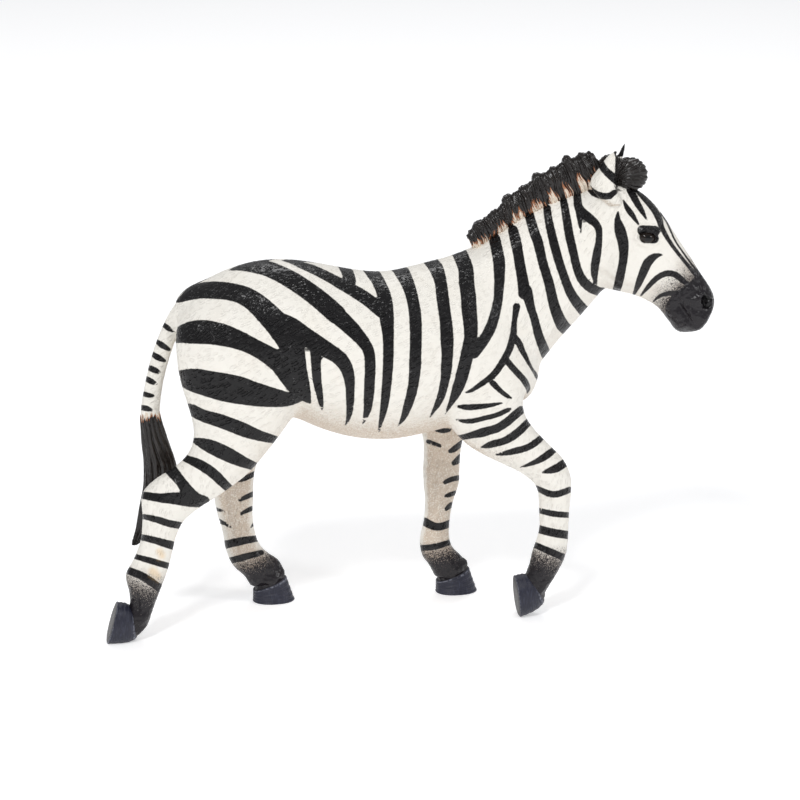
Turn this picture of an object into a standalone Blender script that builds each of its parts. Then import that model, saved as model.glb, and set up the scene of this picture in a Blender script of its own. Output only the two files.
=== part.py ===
"""A walking plains zebra figurine, moulded in one piece.

+X is where it walks to, +Z is up and the side turned to the viewer is -Y.
The origin is the middle of its footprint box, on the floor.
Pose, proportions and carving are shares of the figure's own height: one
UNIT is 1/104 of it, and every table below is in units.
"""

import math

import bmesh
import bpy
import numpy as np
from mathutils import Matrix, Vector
from mathutils.bvhtree import BVHTree

# Driving sizes
HEIGHT = 0.104
HEAD_TURN = 14.0
MANE_LOCKS = 8
MANE_LEAN = 22.0
FORELOCK = (50.7, 0.0, 97.5)
FORELOCK_GROOVES = 6
TUFT_STRANDS = 7
TUFT_TWIST = 0.012
TRIANGLES = 9600
UNIT = HEIGHT / 104.0

# Finish of the moulding: paint laid on warm white plastic
PAINT_WHITE = (0.86, 0.83, 0.76, 1.0)
PAINT_ROUGHNESS = 0.45

# Grain of the fused mesh, in units, how round its joins are, and how much
# more of the triangles the head keeps
GRAIN = 0.55
BODY_PASSES = 60
LIMB_PASSES = 3
HEAD_DETAIL = 0.8

# Sections of the trunk, rump to breast: top x, z, bottom x, z, centre y, half width
TRUNK = [
    (-49.0, 71.6, -48.6, 65.0, 0.0, 3.2),
    (-47.2, 73.8, -47.6, 59.0, 0.0, 6.6),
    (-43.6, 76.5, -43.5, 53.5, 0.0, 10.0),
    (-38.0, 79.2, -38.0, 50.0, 0.0, 12.2),
    (-31.0, 81.0, -31.0, 48.0, 0.0, 13.6),
    (-24.0, 81.0, -24.0, 46.4, 0.0, 14.4),
    (-17.5, 79.9, -18.0, 43.6, 0.0, 15.2),
    (-10.0, 78.2, -11.0, 41.4, 0.0, 15.8),
    (-3.0, 77.4, -3.0, 40.6, 0.0, 15.9),
    (4.0, 78.6, 4.0, 41.4, 0.0, 15.3),
    (10.5, 80.0, 10.5, 42.6, 0.0, 14.2),
    (16.5, 79.6, 17.5, 44.0, 0.0, 12.6),
    (21.0, 76.0, 24.2, 47.4, 0.0, 10.8),
    (25.0, 69.0, 28.2, 52.0, 0.0, 8.0),
]

# Sections of the neck, withers to poll: crest x, z, throat x, z, centre y, half width
NECK = [
    (4.0, 77.6, 16.0, 50.0, 0.0, 10.0),
    (11.0, 80.6, 26.0, 50.0, 0.0, 10.2),
    (16.0, 82.4, 31.4, 56.0, 0.0, 9.0),
    (21.5, 85.8, 35.6, 61.0, 0.0, 7.6),
    (27.5, 89.6, 39.4, 65.0, 0.0, 6.5),
    (33.5, 92.4, 42.8, 68.8, 0.0, 5.7),
    (39.5, 94.4, 45.6, 72.2, -0.2, 5.2),
    (45.0, 95.4, 48.6, 76.0, -0.6, 4.8),
]

# Sections of the head, poll to lips, before it is turned on the poll
HEAD = [
    (45.0, 96.0, 42.0, 77.0, 0.0, 4.4),
    (50.4, 95.4, 43.6, 73.8, 0.0, 5.2),
    (54.6, 92.6, 45.8, 72.2, 0.0, 5.7),
    (57.8, 89.0, 48.8, 71.5, 0.0, 5.8),
    (60.3, 85.3, 52.2, 70.7, 0.0, 5.3),
    (62.5, 82.0, 55.0, 69.5, 0.0, 4.6),
    (64.5, 79.1, 57.2, 68.2, 0.0, 4.2),
    (66.4, 76.1, 58.8, 66.4, 0.0, 4.0),
    (68.1, 73.7, 60.2, 64.4, 0.0, 4.1),
    (69.3, 71.7, 62.2, 63.0, 0.0, 4.3),
    (69.9, 69.7, 64.8, 62.5, 0.0, 4.1),
    (69.6, 67.8, 67.0, 63.4, 0.0, 3.3),
    (69.0, 66.6, 68.3, 64.8, 0.0, 1.8),
]

# Sections of each leg, top to pastern: front x, z, back x, z, centre y, half width
NEAR_HIND = [
    (-25.0, 72.0, -46.0, 74.0, -5.0, 5.6),
    (-21.5, 64.0, -49.6, 68.6, -6.4, 7.0),
    (-21.4, 57.0, -49.8, 62.0, -7.4, 7.6),
    (-23.4, 51.0, -48.9, 56.0, -8.2, 7.2),
    (-27.0, 45.8, -47.3, 50.4, -8.8, 6.2),
    (-31.0, 41.0, -46.6, 45.6, -9.2, 5.1),
    (-35.0, 36.6, -47.8, 41.6, -9.4, 4.3),
    (-40.4, 32.6, -51.2, 38.4, -9.5, 3.7),
    (-45.6, 29.4, -55.0, 36.2, -9.5, 3.4),
    (-49.1, 26.6, -58.0, 33.0, -9.6, 3.3),
    (-50.8, 23.2, -58.0, 27.8, -9.6, 3.1),
    (-51.7, 19.8, -58.6, 22.4, -9.7, 2.8),
    (-52.7, 16.0, -60.4, 18.0, -9.7, 2.8),
    (-54.0, 12.6, -62.0, 15.0, -9.8, 3.1),
    (-55.2, 9.6, -61.4, 11.4, -9.8, 2.9),
    (-56.4, 6.4, -61.2, 8.6, -9.8, 2.7),
    (-57.6, 3.2, -62.0, 5.8, -9.8, 2.7),
    (-59.8, 0.8, -62.8, 3.8, -9.8, 2.3),
]
FAR_HIND = [
    (-24.0, 72.0, -46.0, 74.0, 5.0, 5.6),
    (-20.0, 64.0, -49.2, 68.6, 6.4, 7.0),
    (-19.6, 57.0, -48.6, 62.0, 7.4, 7.6),
    (-20.6, 51.0, -47.0, 55.4, 8.2, 7.2),
    (-23.4, 45.6, -44.6, 49.4, 8.8, 6.2),
    (-26.4, 40.8, -42.6, 44.6, 9.2, 5.0),
    (-29.0, 36.4, -41.6, 40.2, 9.5, 4.2),
    (-30.8, 32.4, -42.0, 36.0, 9.7, 3.6),
    (-31.5, 28.6, -42.0, 31.8, 9.8, 3.4),
    (-31.6, 24.8, -40.8, 26.8, 9.9, 3.2),
    (-31.8, 20.6, -39.9, 21.6, 9.9, 2.9),
    (-31.4, 16.8, -38.7, 16.8, 9.9, 2.8),
    (-30.4, 13.6, -38.0, 12.4, 10.0, 3.1),
    (-28.4, 11.2, -36.4, 8.6, 10.0, 3.0),
    (-26.0, 9.4, -34.0, 6.2, 10.0, 2.9),
    (-24.6, 6.4, -32.6, 3.6, 10.0, 3.0),
]
NEAR_FORE = [
    (20.0, 72.0, 6.0, 68.0, -5.6, 4.4),
    (25.0, 63.0, 6.6, 58.0, -7.4, 5.6),
    (26.6, 55.0, 7.6, 50.0, -8.4, 6.0),
    (25.6, 49.2, 9.6, 44.4, -9.0, 5.6),
    (26.8, 45.4, 13.2, 40.4, -9.2, 5.0),
    (29.1, 42.2, 17.4, 37.6, -9.3, 4.5),
    (32.0, 39.0, 21.9, 35.2, -9.3, 4.0),
    (34.8, 36.0, 26.0, 32.8, -9.3, 3.7),
    (36.5, 32.2, 28.6, 30.2, -9.3, 3.6),
    (36.7, 28.4, 29.4, 27.6, -9.3, 3.4),
    (36.4, 24.4, 29.6, 24.2, -9.3, 2.9),
    (36.3, 20.4, 29.7, 20.2, -9.3, 2.7),
    (36.2, 16.6, 29.0, 17.0, -9.3, 2.8),
    (35.5, 13.0, 28.2, 14.8, -9.3, 3.1),
    (33.7, 9.4, 27.7, 12.2, -9.3, 2.9),
    (31.9, 6.4, 26.8, 9.6, -9.3, 2.7),
    (30.0, 3.2, 25.8, 7.2, -9.3, 2.6),
]
FAR_FORE = [
    (19.0, 72.0, 5.0, 68.0, 5.6, 4.4),
    (21.6, 63.0, 4.0, 60.0, 7.2, 5.6),
    (21.6, 55.0, 3.2, 52.4, 8.2, 6.0),
    (19.6, 48.0, 4.0, 46.0, 8.6, 5.6),
    (17.6, 42.6, 5.6, 41.0, 8.8, 4.8),
    (16.2, 37.8, 6.8, 36.8, 8.8, 4.1),
    (15.4, 33.4, 7.0, 32.8, 8.8, 3.6),
    (15.2, 29.2, 6.8, 29.0, 8.8, 3.5),
    (15.0, 25.6, 7.0, 25.4, 8.8, 3.2),
    (13.8, 21.8, 7.3, 21.8, 8.8, 2.8),
    (13.0, 17.4, 7.0, 17.2, 8.8, 2.7),
    (12.9, 13.2, 6.1, 12.6, 8.8, 2.9),
    (13.8, 10.4, 6.6, 9.0, 8.8, 2.9),
    (15.8, 8.3, 8.2, 6.6, 8.8, 2.8),
    (17.2, 5.6, 9.6, 3.6, 8.8, 2.9),
]

# The tail's dock and its tuft: left x, z, right x, z, centre y, half width
DOCK = [
    (-45.6, 74.2, -44.6, 69.6, 0.0, 2.6),
    (-49.0, 72.2, -46.0, 69.0, 0.0, 2.2),
    (-51.4, 68.4, -48.0, 66.8, 0.0, 1.9),
    (-53.9, 62.4, -50.2, 61.4, 0.0, 1.8),
    (-55.8, 55.6, -52.0, 55.0, 0.0, 1.8),
    (-57.0, 49.0, -52.9, 48.8, 0.0, 1.9),
    (-56.9, 45.0, -53.0, 45.0, 0.0, 1.8),
]
TUFT = [
    (-56.9, 49.2, -53.0, 49.0, 0.0, 1.9),
    (-57.4, 46.6, -52.4, 46.4, 0.0, 2.4),
    (-57.1, 41.6, -50.8, 41.2, 0.0, 2.7),
    (-56.8, 36.0, -49.4, 35.4, 0.0, 2.8),
    (-57.3, 30.4, -50.4, 29.6, 0.0, 2.6),
    (-58.4, 25.0, -53.2, 24.0, 0.0, 2.1),
    (-59.4, 20.6, -56.2, 19.8, 0.0, 1.3),
    (-59.9, 18.4, -58.8, 18.2, 0.0, 0.5),
]

# Eyes, in the straight head's x and z
EYE = (54.7, 84.6)
EYE_LENGTH = 4.8
EYE_HEIGHT = 2.8

# Ears: for each side, its length and how far its tip is carried ahead
NEAR_EAR_LENGTH = 10.2
FAR_EAR_LENGTH = 11.2
EARS = [(-1, NEAR_EAR_LENGTH, -1.0), (1, FAR_EAR_LENGTH, 0.9)]
EAR_WIDTH = 6.6
EAR_OUTLINE = [
    (-0.12, 0.5),
    (0.1, 0.86),
    (0.28, 1.0),
    (0.44, 0.92),
    (0.66, 0.62),
    (0.86, 0.38),
    (1.0, 0.1),
]

# Hooves, and how each leg meets its own: how far the toe lies ahead of the
# last section's middle, how far the heel has risen and the turn, in degrees
HOOF_LENGTH = 9.4
HOOF_WIDTH = 7.2
HOOF_RISE = 5.6
HOOF_SLOPE = 0.9
HOOF_CUT = 0.8
LEGS = [
    (FAR_HIND, 6.0, 0.0, 0.0),
    (FAR_FORE, 5.9, 0.0, 0.0),
    (NEAR_HIND, -5.3, 106.0, -1.0),
    (NEAR_FORE, -2.7, 84.0, -1.0),
]


def clear_scene():
    for thing in list(bpy.data.objects):
        bpy.data.objects.remove(thing, do_unlink=True)


def spline(rows, step):
    """Rows of numbers filled in by a smooth curve, about a step apart."""
    rows = np.asarray(rows, float)
    ends = np.vstack([2 * rows[0] - rows[1], rows, 2 * rows[-1] - rows[-2]])
    out = []
    for i in range(len(rows) - 1):
        a, b, c, d = ends[i : i + 4]
        count = max(1, math.ceil(np.abs(c - b).max() / step))
        for k in range(count):
            t = k / count
            out.append(
                0.5
                * (
                    2 * b
                    + (c - a) * t
                    + (2 * a - 5 * b + 4 * c - d) * t**2
                    + (3 * b - a - 3 * c + d) * t**3
                )
            )
    out.append(rows[-1])
    return np.array(out)


def skin(bm, rings):
    """Faces over closed rings of points, with a fan on each end."""
    loops = [[bm.verts.new(p) for p in ring] for ring in rings]
    count = len(loops[0])
    for low, high in zip(loops, loops[1:]):
        for k in range(count):
            n = (k + 1) % count
            bm.faces.new((low[k], low[n], high[n], high[k]))
    bm.faces.new(loops[0][::-1])
    bm.faces.new(loops[-1])


def add_loft(bm, table, square=2.0, egg=0.0, sides=32, step=0.9):
    """A shell through a table's sections; egg widens the second end of each."""
    rings = []
    for ax, az, bx, bz, y, half in spline(table, step):
        middle = np.array([(ax + bx) / 2, y, (az + bz) / 2])
        reach = np.array([(ax - bx) / 2, 0.0, (az - bz) / 2])
        ring = []
        for k in range(sides):
            turn = 2 * math.pi * k / sides
            c, s = math.cos(turn), math.sin(turn)
            u = math.copysign(abs(c) ** (2 / square), c)
            v = math.copysign(abs(s) ** (2 / square), s) * (1 - egg * u)
            ring.append(middle + reach * u + np.array([0.0, v * half, 0.0]))
        rings.append(ring)
    skin(bm, rings)


def add_ball(bm, middle, radii, tilt=0.0, roll=0.0, sides=18):
    """An ellipsoid; tilt lifts its front end, roll leans its top toward -Y."""
    place = (
        Matrix.Translation(Vector(middle))
        @ Matrix.Rotation(math.radians(roll), 4, "X")
        @ Matrix.Rotation(math.radians(-tilt), 4, "Y")
        @ Matrix.Diagonal((*radii, 1.0))
    )
    rings = []
    for k in range(sides // 2 + 1):
        rise = math.pi * (k + 0.25) / (sides // 2 + 0.5)
        ring = []
        for n in range(sides):
            a = 2 * math.pi * n / sides
            flat = math.sin(rise)
            spot = Vector((flat * math.cos(a), flat * math.sin(a), -math.cos(rise)))
            ring.append(place @ spot)
        rings.append(ring)
    skin(bm, rings)


def add_mass(bm, sides, x, reach, z, radii, tilt=0.0, lean=0.0):
    """A muscle on one side (-1 or 1) or both: reach is how far out it comes."""
    for side in sides:
        middle = (x, side * (reach - radii[1]), z)
        add_ball(bm, middle, radii, tilt, lean * side)


def add_limb(bm, start, end, r0, r1):
    """A row of balls from start to end, r0 at the start and r1 at the end."""
    start, end = np.array(start, float), np.array(end, float)
    count = max(3, math.ceil(np.linalg.norm(end - start) / (0.6 * min(r0, r1))))
    for k in range(count + 1):
        t = k / count
        r = r0 + (r1 - r0) * t
        add_ball(bm, start + (end - start) * t, (r, r, r), sides=14)


def add_muscles(bm):
    """The masses that stand out on the body, as on a lean zebra."""
    near, far, pair = (-1,), (1,), (-1, 1)
    # Hip bones and dock root
    add_mass(bm, pair, -24.5, 13.2, 71.5, (5.4, 4.2, 5.0), tilt=-20, lean=20)
    add_ball(bm, (-44.0, 0.0, 73.8), (6.0, 4.0, 3.0), tilt=25)
    # Thighs and buttocks
    add_mass(bm, near, -36.5, 15.4, 61.0, (12.0, 6.2, 13.4))
    add_mass(bm, near, -43.0, 13.6, 60.0, (6.4, 5.8, 12.6), tilt=8)
    add_mass(bm, near, -28.6, 14.9, 55.4, (5.4, 4.6, 8.0), tilt=-14)
    add_mass(bm, far, -35.0, 15.4, 61.0, (12.0, 6.2, 13.4))
    add_mass(bm, far, -42.0, 13.6, 60.0, (6.4, 5.8, 12.6), tilt=4)
    add_mass(bm, far, -26.0, 14.9, 55.4, (5.4, 4.6, 8.0), tilt=-14)
    # Gaskins
    add_mass(bm, near, -38.6, 13.9, 44.0, (5.0, 3.6, 8.8), tilt=-42)
    add_mass(bm, far, -34.0, 14.2, 42.6, (5.0, 3.6, 8.6), tilt=-30)
    # Shoulder blades, upper arms and points of the shoulder
    add_mass(bm, pair, 15.6, 12.0, 65.4, (6.6, 4.4, 13.0), tilt=34, lean=18)
    add_mass(bm, pair, 11.6, 14.2, 56.0, (7.2, 5.4, 7.4), tilt=-20)
    add_mass(bm, pair, 23.8, 11.2, 57.0, (4.8, 4.8, 7.0), tilt=14)
    # Breast
    add_mass(bm, pair, 26.6, 7.4, 54.4, (4.0, 4.4, 7.0), tilt=-6)
    add_ball(bm, (18.0, 0.0, 46.0), (9.0, 6.0, 3.4), tilt=12)
    # Forearms
    add_mass(bm, near, 19.6, 14.2, 43.4, (7.8, 4.2, 4.8), tilt=-34)
    add_mass(bm, far, 12.2, 13.8, 44.0, (4.8, 4.0, 7.6), tilt=4)
    # Neck muscle from the jaw to the shoulder, and along the crest
    for side in pair:
        add_limb(bm, (41.5, side * 2.9, 77.6), (28.0, side * 5.0, 62.0), 2.4, 3.4)
        add_limb(bm, (38.0, side * 1.4, 89.0), (16.0, side * 2.4, 76.0), 3.0, 4.8)


def turn_head(points):
    """Points of the straight head turned on the poll toward the viewer."""
    poll = np.array([44.0, 0.0, 0.0])
    angle = math.radians(-HEAD_TURN)
    c, s = math.cos(angle), math.sin(angle)
    moved = points - poll
    x = moved[:, 0] * c - moved[:, 1] * s
    y = moved[:, 0] * s + moved[:, 1] * c
    return np.stack([x, y, moved[:, 2]], 1) + poll


def add_turned(bm, straight):
    """Adds a straight-built piece of the head, turned, to bm."""
    for vert in straight.verts:
        vert.co = turn_head(np.array([vert.co]))[0]
    copy = bpy.data.meshes.new("turned")
    straight.to_mesh(copy)
    straight.free()
    bm.from_mesh(copy)
    bpy.data.meshes.remove(copy)


def add_head(bm):
    """The skull, cheeks, cheek bones and muzzle, turned together."""
    head = bmesh.new()
    pair = (-1, 1)
    add_loft(head, HEAD, square=2.3, egg=-0.04)
    add_mass(head, pair, 50.6, 6.3, 78.6, (6.0, 3.4, 6.4))
    for side in pair:
        add_limb(head, (52.6, side * 4.1, 88.6), (57.0, side * 3.3, 88.0), 1.4, 1.0)
        add_limb(head, (56.6, side * 4.3, 82.4), (62.0, side * 3.2, 75.6), 1.3, 0.9)
        add_limb(head, (46.0, side * 2.8, 91.0), (45.8, side * 4.0, 95.0), 2.4, 2.0)
    add_mass(head, pair, 67.5, 4.8, 70.3, (1.9, 1.8, 2.4), tilt=30)
    add_mass(head, pair, 65.0, 4.2, 65.4, (3.0, 1.8, 1.8), tilt=-30)
    add_ball(head, (62.6, 0.0, 64.4), (2.6, 2.9, 2.0), tilt=-25)
    add_turned(bm, head)


def on_head(tree, x, z, side):
    """Where the skin lies at x, z of the straight head, seen from one side."""
    start, heart = turn_head(np.array([(x, side * 30.0, z), (x, 0.0, z)]))
    hit = tree.ray_cast(Vector(start), Vector(heart - start))[0]
    if hit is None:
        hit = tree.find_nearest(Vector(heart))[0]
    return np.array(hit)


def add_eyes(bm, tree):
    """Eyeballs between an upper and a lower lid that lie on the skin."""
    for side in (-1, 1):
        outward = turn_head(np.array([(44.0, side, 0.0)]))[0] - (44.0, 0.0, 0.0)
        heart = on_head(tree, *EYE, side)
        ball = (EYE_LENGTH * 0.4, 1.4, EYE_HEIGHT * 0.46)
        add_ball(bm, heart - outward * 0.5, ball, tilt=-12)
        for lid in (0.6, -0.5):
            arc = []
            for k in range(9):
                t = math.pi * k / 8
                x = EYE[0] + EYE_LENGTH / 2 * math.cos(t)
                z = EYE[1] + EYE_HEIGHT * (lid * math.sin(t) - 0.12 * math.cos(t))
                arc.append(on_head(tree, x, z, side))
            for a, b in zip(arc, arc[1:]):
                add_limb(bm, a, b, 0.5, 0.5)


def add_ears(bm):
    """Two upright leaf-shaped ears, hollow toward the front."""
    heights, widths = np.array(EAR_OUTLINE).T
    foot = HEAD[1][1] - 2.4
    for side, length, ahead in EARS:
        rings = []
        for t in np.linspace(EAR_OUTLINE[0][0], 1.0, 19):
            wide = EAR_WIDTH / 2 * np.interp(t, heights, widths)
            x = HEAD[1][0] - 1.5 - wide + ahead * t
            y = side * (4.2 - 1.5 * max(t, 0.0))
            ring = []
            for k in range(24):
                a = 2 * math.pi * k / 24
                c, s = math.cos(a), math.sin(a)
                hollow = 0.8 * math.exp(-((a - math.pi) ** 2) / 0.3) * ramp(t, 0.05, 0.3)
                out = Vector((-c * wide, s * min(wide, 2.5) * 0.9, 0.0)) * (1.0 - hollow)
                ring.append(Vector((x, y, foot + length * t)) + out)
            rings.append(ring)
        ear = bmesh.new()
        skin(ear, rings)
        add_turned(bm, ear)


def crest_point(t):
    """A point of the neck's crest, 0 at the withers end of the mane."""
    crest = np.array(NECK)
    x = crest[2, 0] + 1.0 + (crest[-1, 0] - crest[2, 0] - 1.6) * t
    return np.array([x, 0.0, np.interp(x, crest[:, 0], crest[:, 1])])


def mane_height(t):
    """How tall the mane stands: low at the withers, tallest behind the ears."""
    return 3.8 + 4.6 * t


def add_mane(bm):
    """Upright locks along the crest, and the forelock over the brow."""
    lean = math.radians(MANE_LEAN)
    up = np.array([-math.sin(lean), 0.0, math.cos(lean)])
    for k in range(MANE_LOCKS):
        t = (k + 0.5) / MANE_LOCKS
        tall = mane_height(t) + 0.35 * (-1) ** k
        middle = crest_point(t) + up * tall * 0.42
        wide = 0.62 * (crest_point(1.0) - crest_point(0.0))[0] / MANE_LOCKS
        add_ball(bm, middle, (wide, 2.3, tall * 0.62), tilt=MANE_LEAN)
    for k in range(25):
        t = k / 24
        tall = mane_height(t)
        foot = crest_point(t) + up * tall * 0.26
        add_ball(bm, foot, (1.6, 2.0, tall * 0.64), tilt=MANE_LEAN)
    lock = bmesh.new()
    add_ball(lock, FORELOCK, (4.0, 3.0, 3.9), tilt=-20)
    add_ball(lock, (46.6, 0.0, 98.0), (3.6, 2.4, 4.0))
    add_turned(bm, lock)


def add_hoof(bm, leg, ahead, rise, turn):
    """A hoof: a wall sloping out from the coronet down to a flat sole.

    It reaches HOOF_CUT below the floor, where the soles are cut level.
    """
    fx, _, bx, _, y, _ = leg[-1]
    flat = rise == 0.0
    rounded = 0.0 if flat else 0.16
    level = 0.74 if flat else 0.80
    rings = []
    for t in np.linspace(1.0, -HOOF_CUT / HOOF_RISE if flat else 0.0, 8):
        grow = 1.0 - 0.20 * t - rounded * t**6
        ring = []
        for k in range(28):
            a = 2 * math.pi * k / 28
            c, s = math.cos(a), math.sin(a)
            u = math.copysign(abs(c) ** 0.9, c) * HOOF_LENGTH / 2 * grow
            v = math.copysign(abs(s) ** 0.9, s) * HOOF_WIDTH / 2 * grow
            height = HOOF_RISE * t * (level + (1.0 - level) * c if t > 0 else 1.0)
            ring.append((u - HOOF_LENGTH / 2 - HOOF_SLOPE * t, v, height))
        rings.append(ring)
    place = (
        Matrix.Translation(((fx + bx) / 2 + ahead, y, 0.0 if flat else -0.3))
        @ Matrix.Rotation(math.radians(turn), 4, "Z")
        @ Matrix.Rotation(math.radians(rise), 4, "Y")
    )
    skin(bm, [[place @ Vector(p) for p in ring] for ring in rings])
    if flat:
        crown = place @ Vector((-HOOF_LENGTH * 0.48 - HOOF_SLOPE, 0.0, HOOF_RISE * 1.02))
        add_ball(bm, crown, (HOOF_LENGTH * 0.37, HOOF_WIDTH * 0.42, 2.0), tilt=20)


def fused(name, bm, grain):
    """The overlapping shells of bm made one closed skin."""
    mesh = bpy.data.meshes.new(name)
    bmesh.ops.recalc_face_normals(bm, faces=bm.faces)
    bm.to_mesh(mesh)
    bm.free()
    thing = bpy.data.objects.new(name, mesh)
    bpy.context.scene.collection.objects.link(thing)
    remesh = thing.modifiers.new("Remesh", "REMESH")
    remesh.mode = "VOXEL"
    remesh.voxel_size = grain
    return apply(thing)


def apply(thing):
    """The object with its modifiers made part of its mesh."""
    graph = bpy.context.evaluated_depsgraph_get()
    graph.update()
    mesh = bpy.data.meshes.new_from_object(thing.evaluated_get(graph))
    old = thing.data
    thing.modifiers.clear()
    thing.data = mesh
    bpy.data.meshes.remove(old)
    return thing


def points_of(thing):
    points = np.empty(len(thing.data.vertices) * 3, np.float32)
    thing.data.vertices.foreach_get("co", points)
    return points.reshape(-1, 3).astype(float)


def relax(thing, weights, passes):
    """Smooths the skin, each point as much as its weight says."""
    group = thing.vertex_groups.new(name="relax")
    for level in np.unique(np.round(weights, 1)):
        if level > 0:
            chosen = np.flatnonzero(np.round(weights, 1) == level)
            group.add(chosen.tolist(), float(level), "REPLACE")
    smooth = thing.modifiers.new("Smooth", "SMOOTH")
    smooth.iterations = passes
    smooth.factor = 0.5
    smooth.vertex_group = group.name
    apply(thing)
    thing.vertex_groups.clear()
    return thing


def carve(thing, path, radius, depth):
    """Presses a groove along a path of points into the skin; a negative depth raises it."""
    mesh = thing.data
    points = points_of(thing)
    normals = np.empty(len(points) * 3, np.float32)
    mesh.vertices.foreach_get("normal", normals)
    normals = normals.reshape(-1, 3)
    path = np.array(path, float)
    away = np.full(len(points), 1e9)
    for a, b in zip(path, path[1:] if len(path) > 1 else path):
        line = b - a
        t = np.clip((points - a) @ line / max(line @ line, 1e-9), 0.0, 1.0)
        away = np.minimum(away, np.linalg.norm(points - a - t[:, None] * line, axis=1))
    points -= normals * (depth * np.exp(-((away / radius) ** 2)))[:, None]
    mesh.vertices.foreach_set("co", points.astype(np.float32).ravel())
    mesh.update()


def carve_face(thing, tree):
    """The creases round the eyes, the nostrils and the mouth."""
    for side in (-1, 1):
        crease = []
        for k in range(17):
            t = 2 * math.pi * k / 16
            x = EYE[0] + EYE_LENGTH * 0.40 * math.cos(t)
            z = EYE[1] + EYE_HEIGHT * (0.44 * math.sin(t) - 0.12 * math.cos(t))
            crease.append(on_head(tree, x, z, side))
        carve(thing, crease, 0.4, 0.25)
        nostril = [(68.7, side * 4.2, 71.1), (68.2, side * 4.4, 69.6)]
        mouth = [
            (68.0, side * 0.4, 64.3),
            (65.4, side * 3.7, 64.8),
            (64.1, side * 4.4, 66.3),
            (62.0, side * 4.5, 69.0),
        ]
        carve(thing, turn_head(np.array(nostril)), 1.0, 1.9)
        carve(thing, turn_head(np.array(mouth)), 0.6, 0.8)


def carve_forelock(thing):
    """Grooves fanning over the forelock from between the ears."""
    heart = np.array(FORELOCK)
    for k in range(FORELOCK_GROOVES):
        fan = math.radians(105 - 150 * k / (FORELOCK_GROOVES - 1))
        for side in (-1, 1):
            path = []
            for out, wide in ((0.8, 3.0), (2.4, 2.5), (3.6, 1.4), (4.1, 0.2)):
                spot = heart + (out * math.cos(fan), side * wide, out * math.sin(fan))
                path.append(spot)
            carve(thing, turn_head(np.array(path)), 0.45, 0.45)


def carve_tuft(thing):
    """Grooves down the tail's tuft, between its strands."""
    for k in range(TUFT_STRANDS):
        turn = 2 * math.pi * k / TUFT_STRANDS
        path = []
        for ax, az, bx, bz, y, half in TUFT[1:]:
            middle = np.array([(ax + bx) / 2, y, (az + bz) / 2])
            reach = np.array([(ax - bx) / 2, 0.0, (az - bz) / 2])
            swing = turn + TUFT_TWIST * (TUFT[0][1] - az)
            out = np.array([0.0, half * math.sin(swing), 0.0])
            path.append(middle + reach * math.cos(swing) + out)
        carve(thing, path, 0.55, 0.5)


def ramp(value, low, high):
    return np.clip((value - low) / (high - low), 0.0, 1.0)


def head_share(points):
    """1 on the head, 0 on the neck and body."""
    ahead = ramp(points[:, 0] + 0.6 * (95.0 - points[:, 2]), 50.0, 60.0)
    return ahead * ramp(points[:, 2], 50.0, 60.0)


def body_share(points):
    """1 on the trunk, thighs, shoulders and neck, 0 on the lower legs and head."""
    return ramp(points[:, 2], 40.0, 50.0) * (1.0 - head_share(points))


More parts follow.
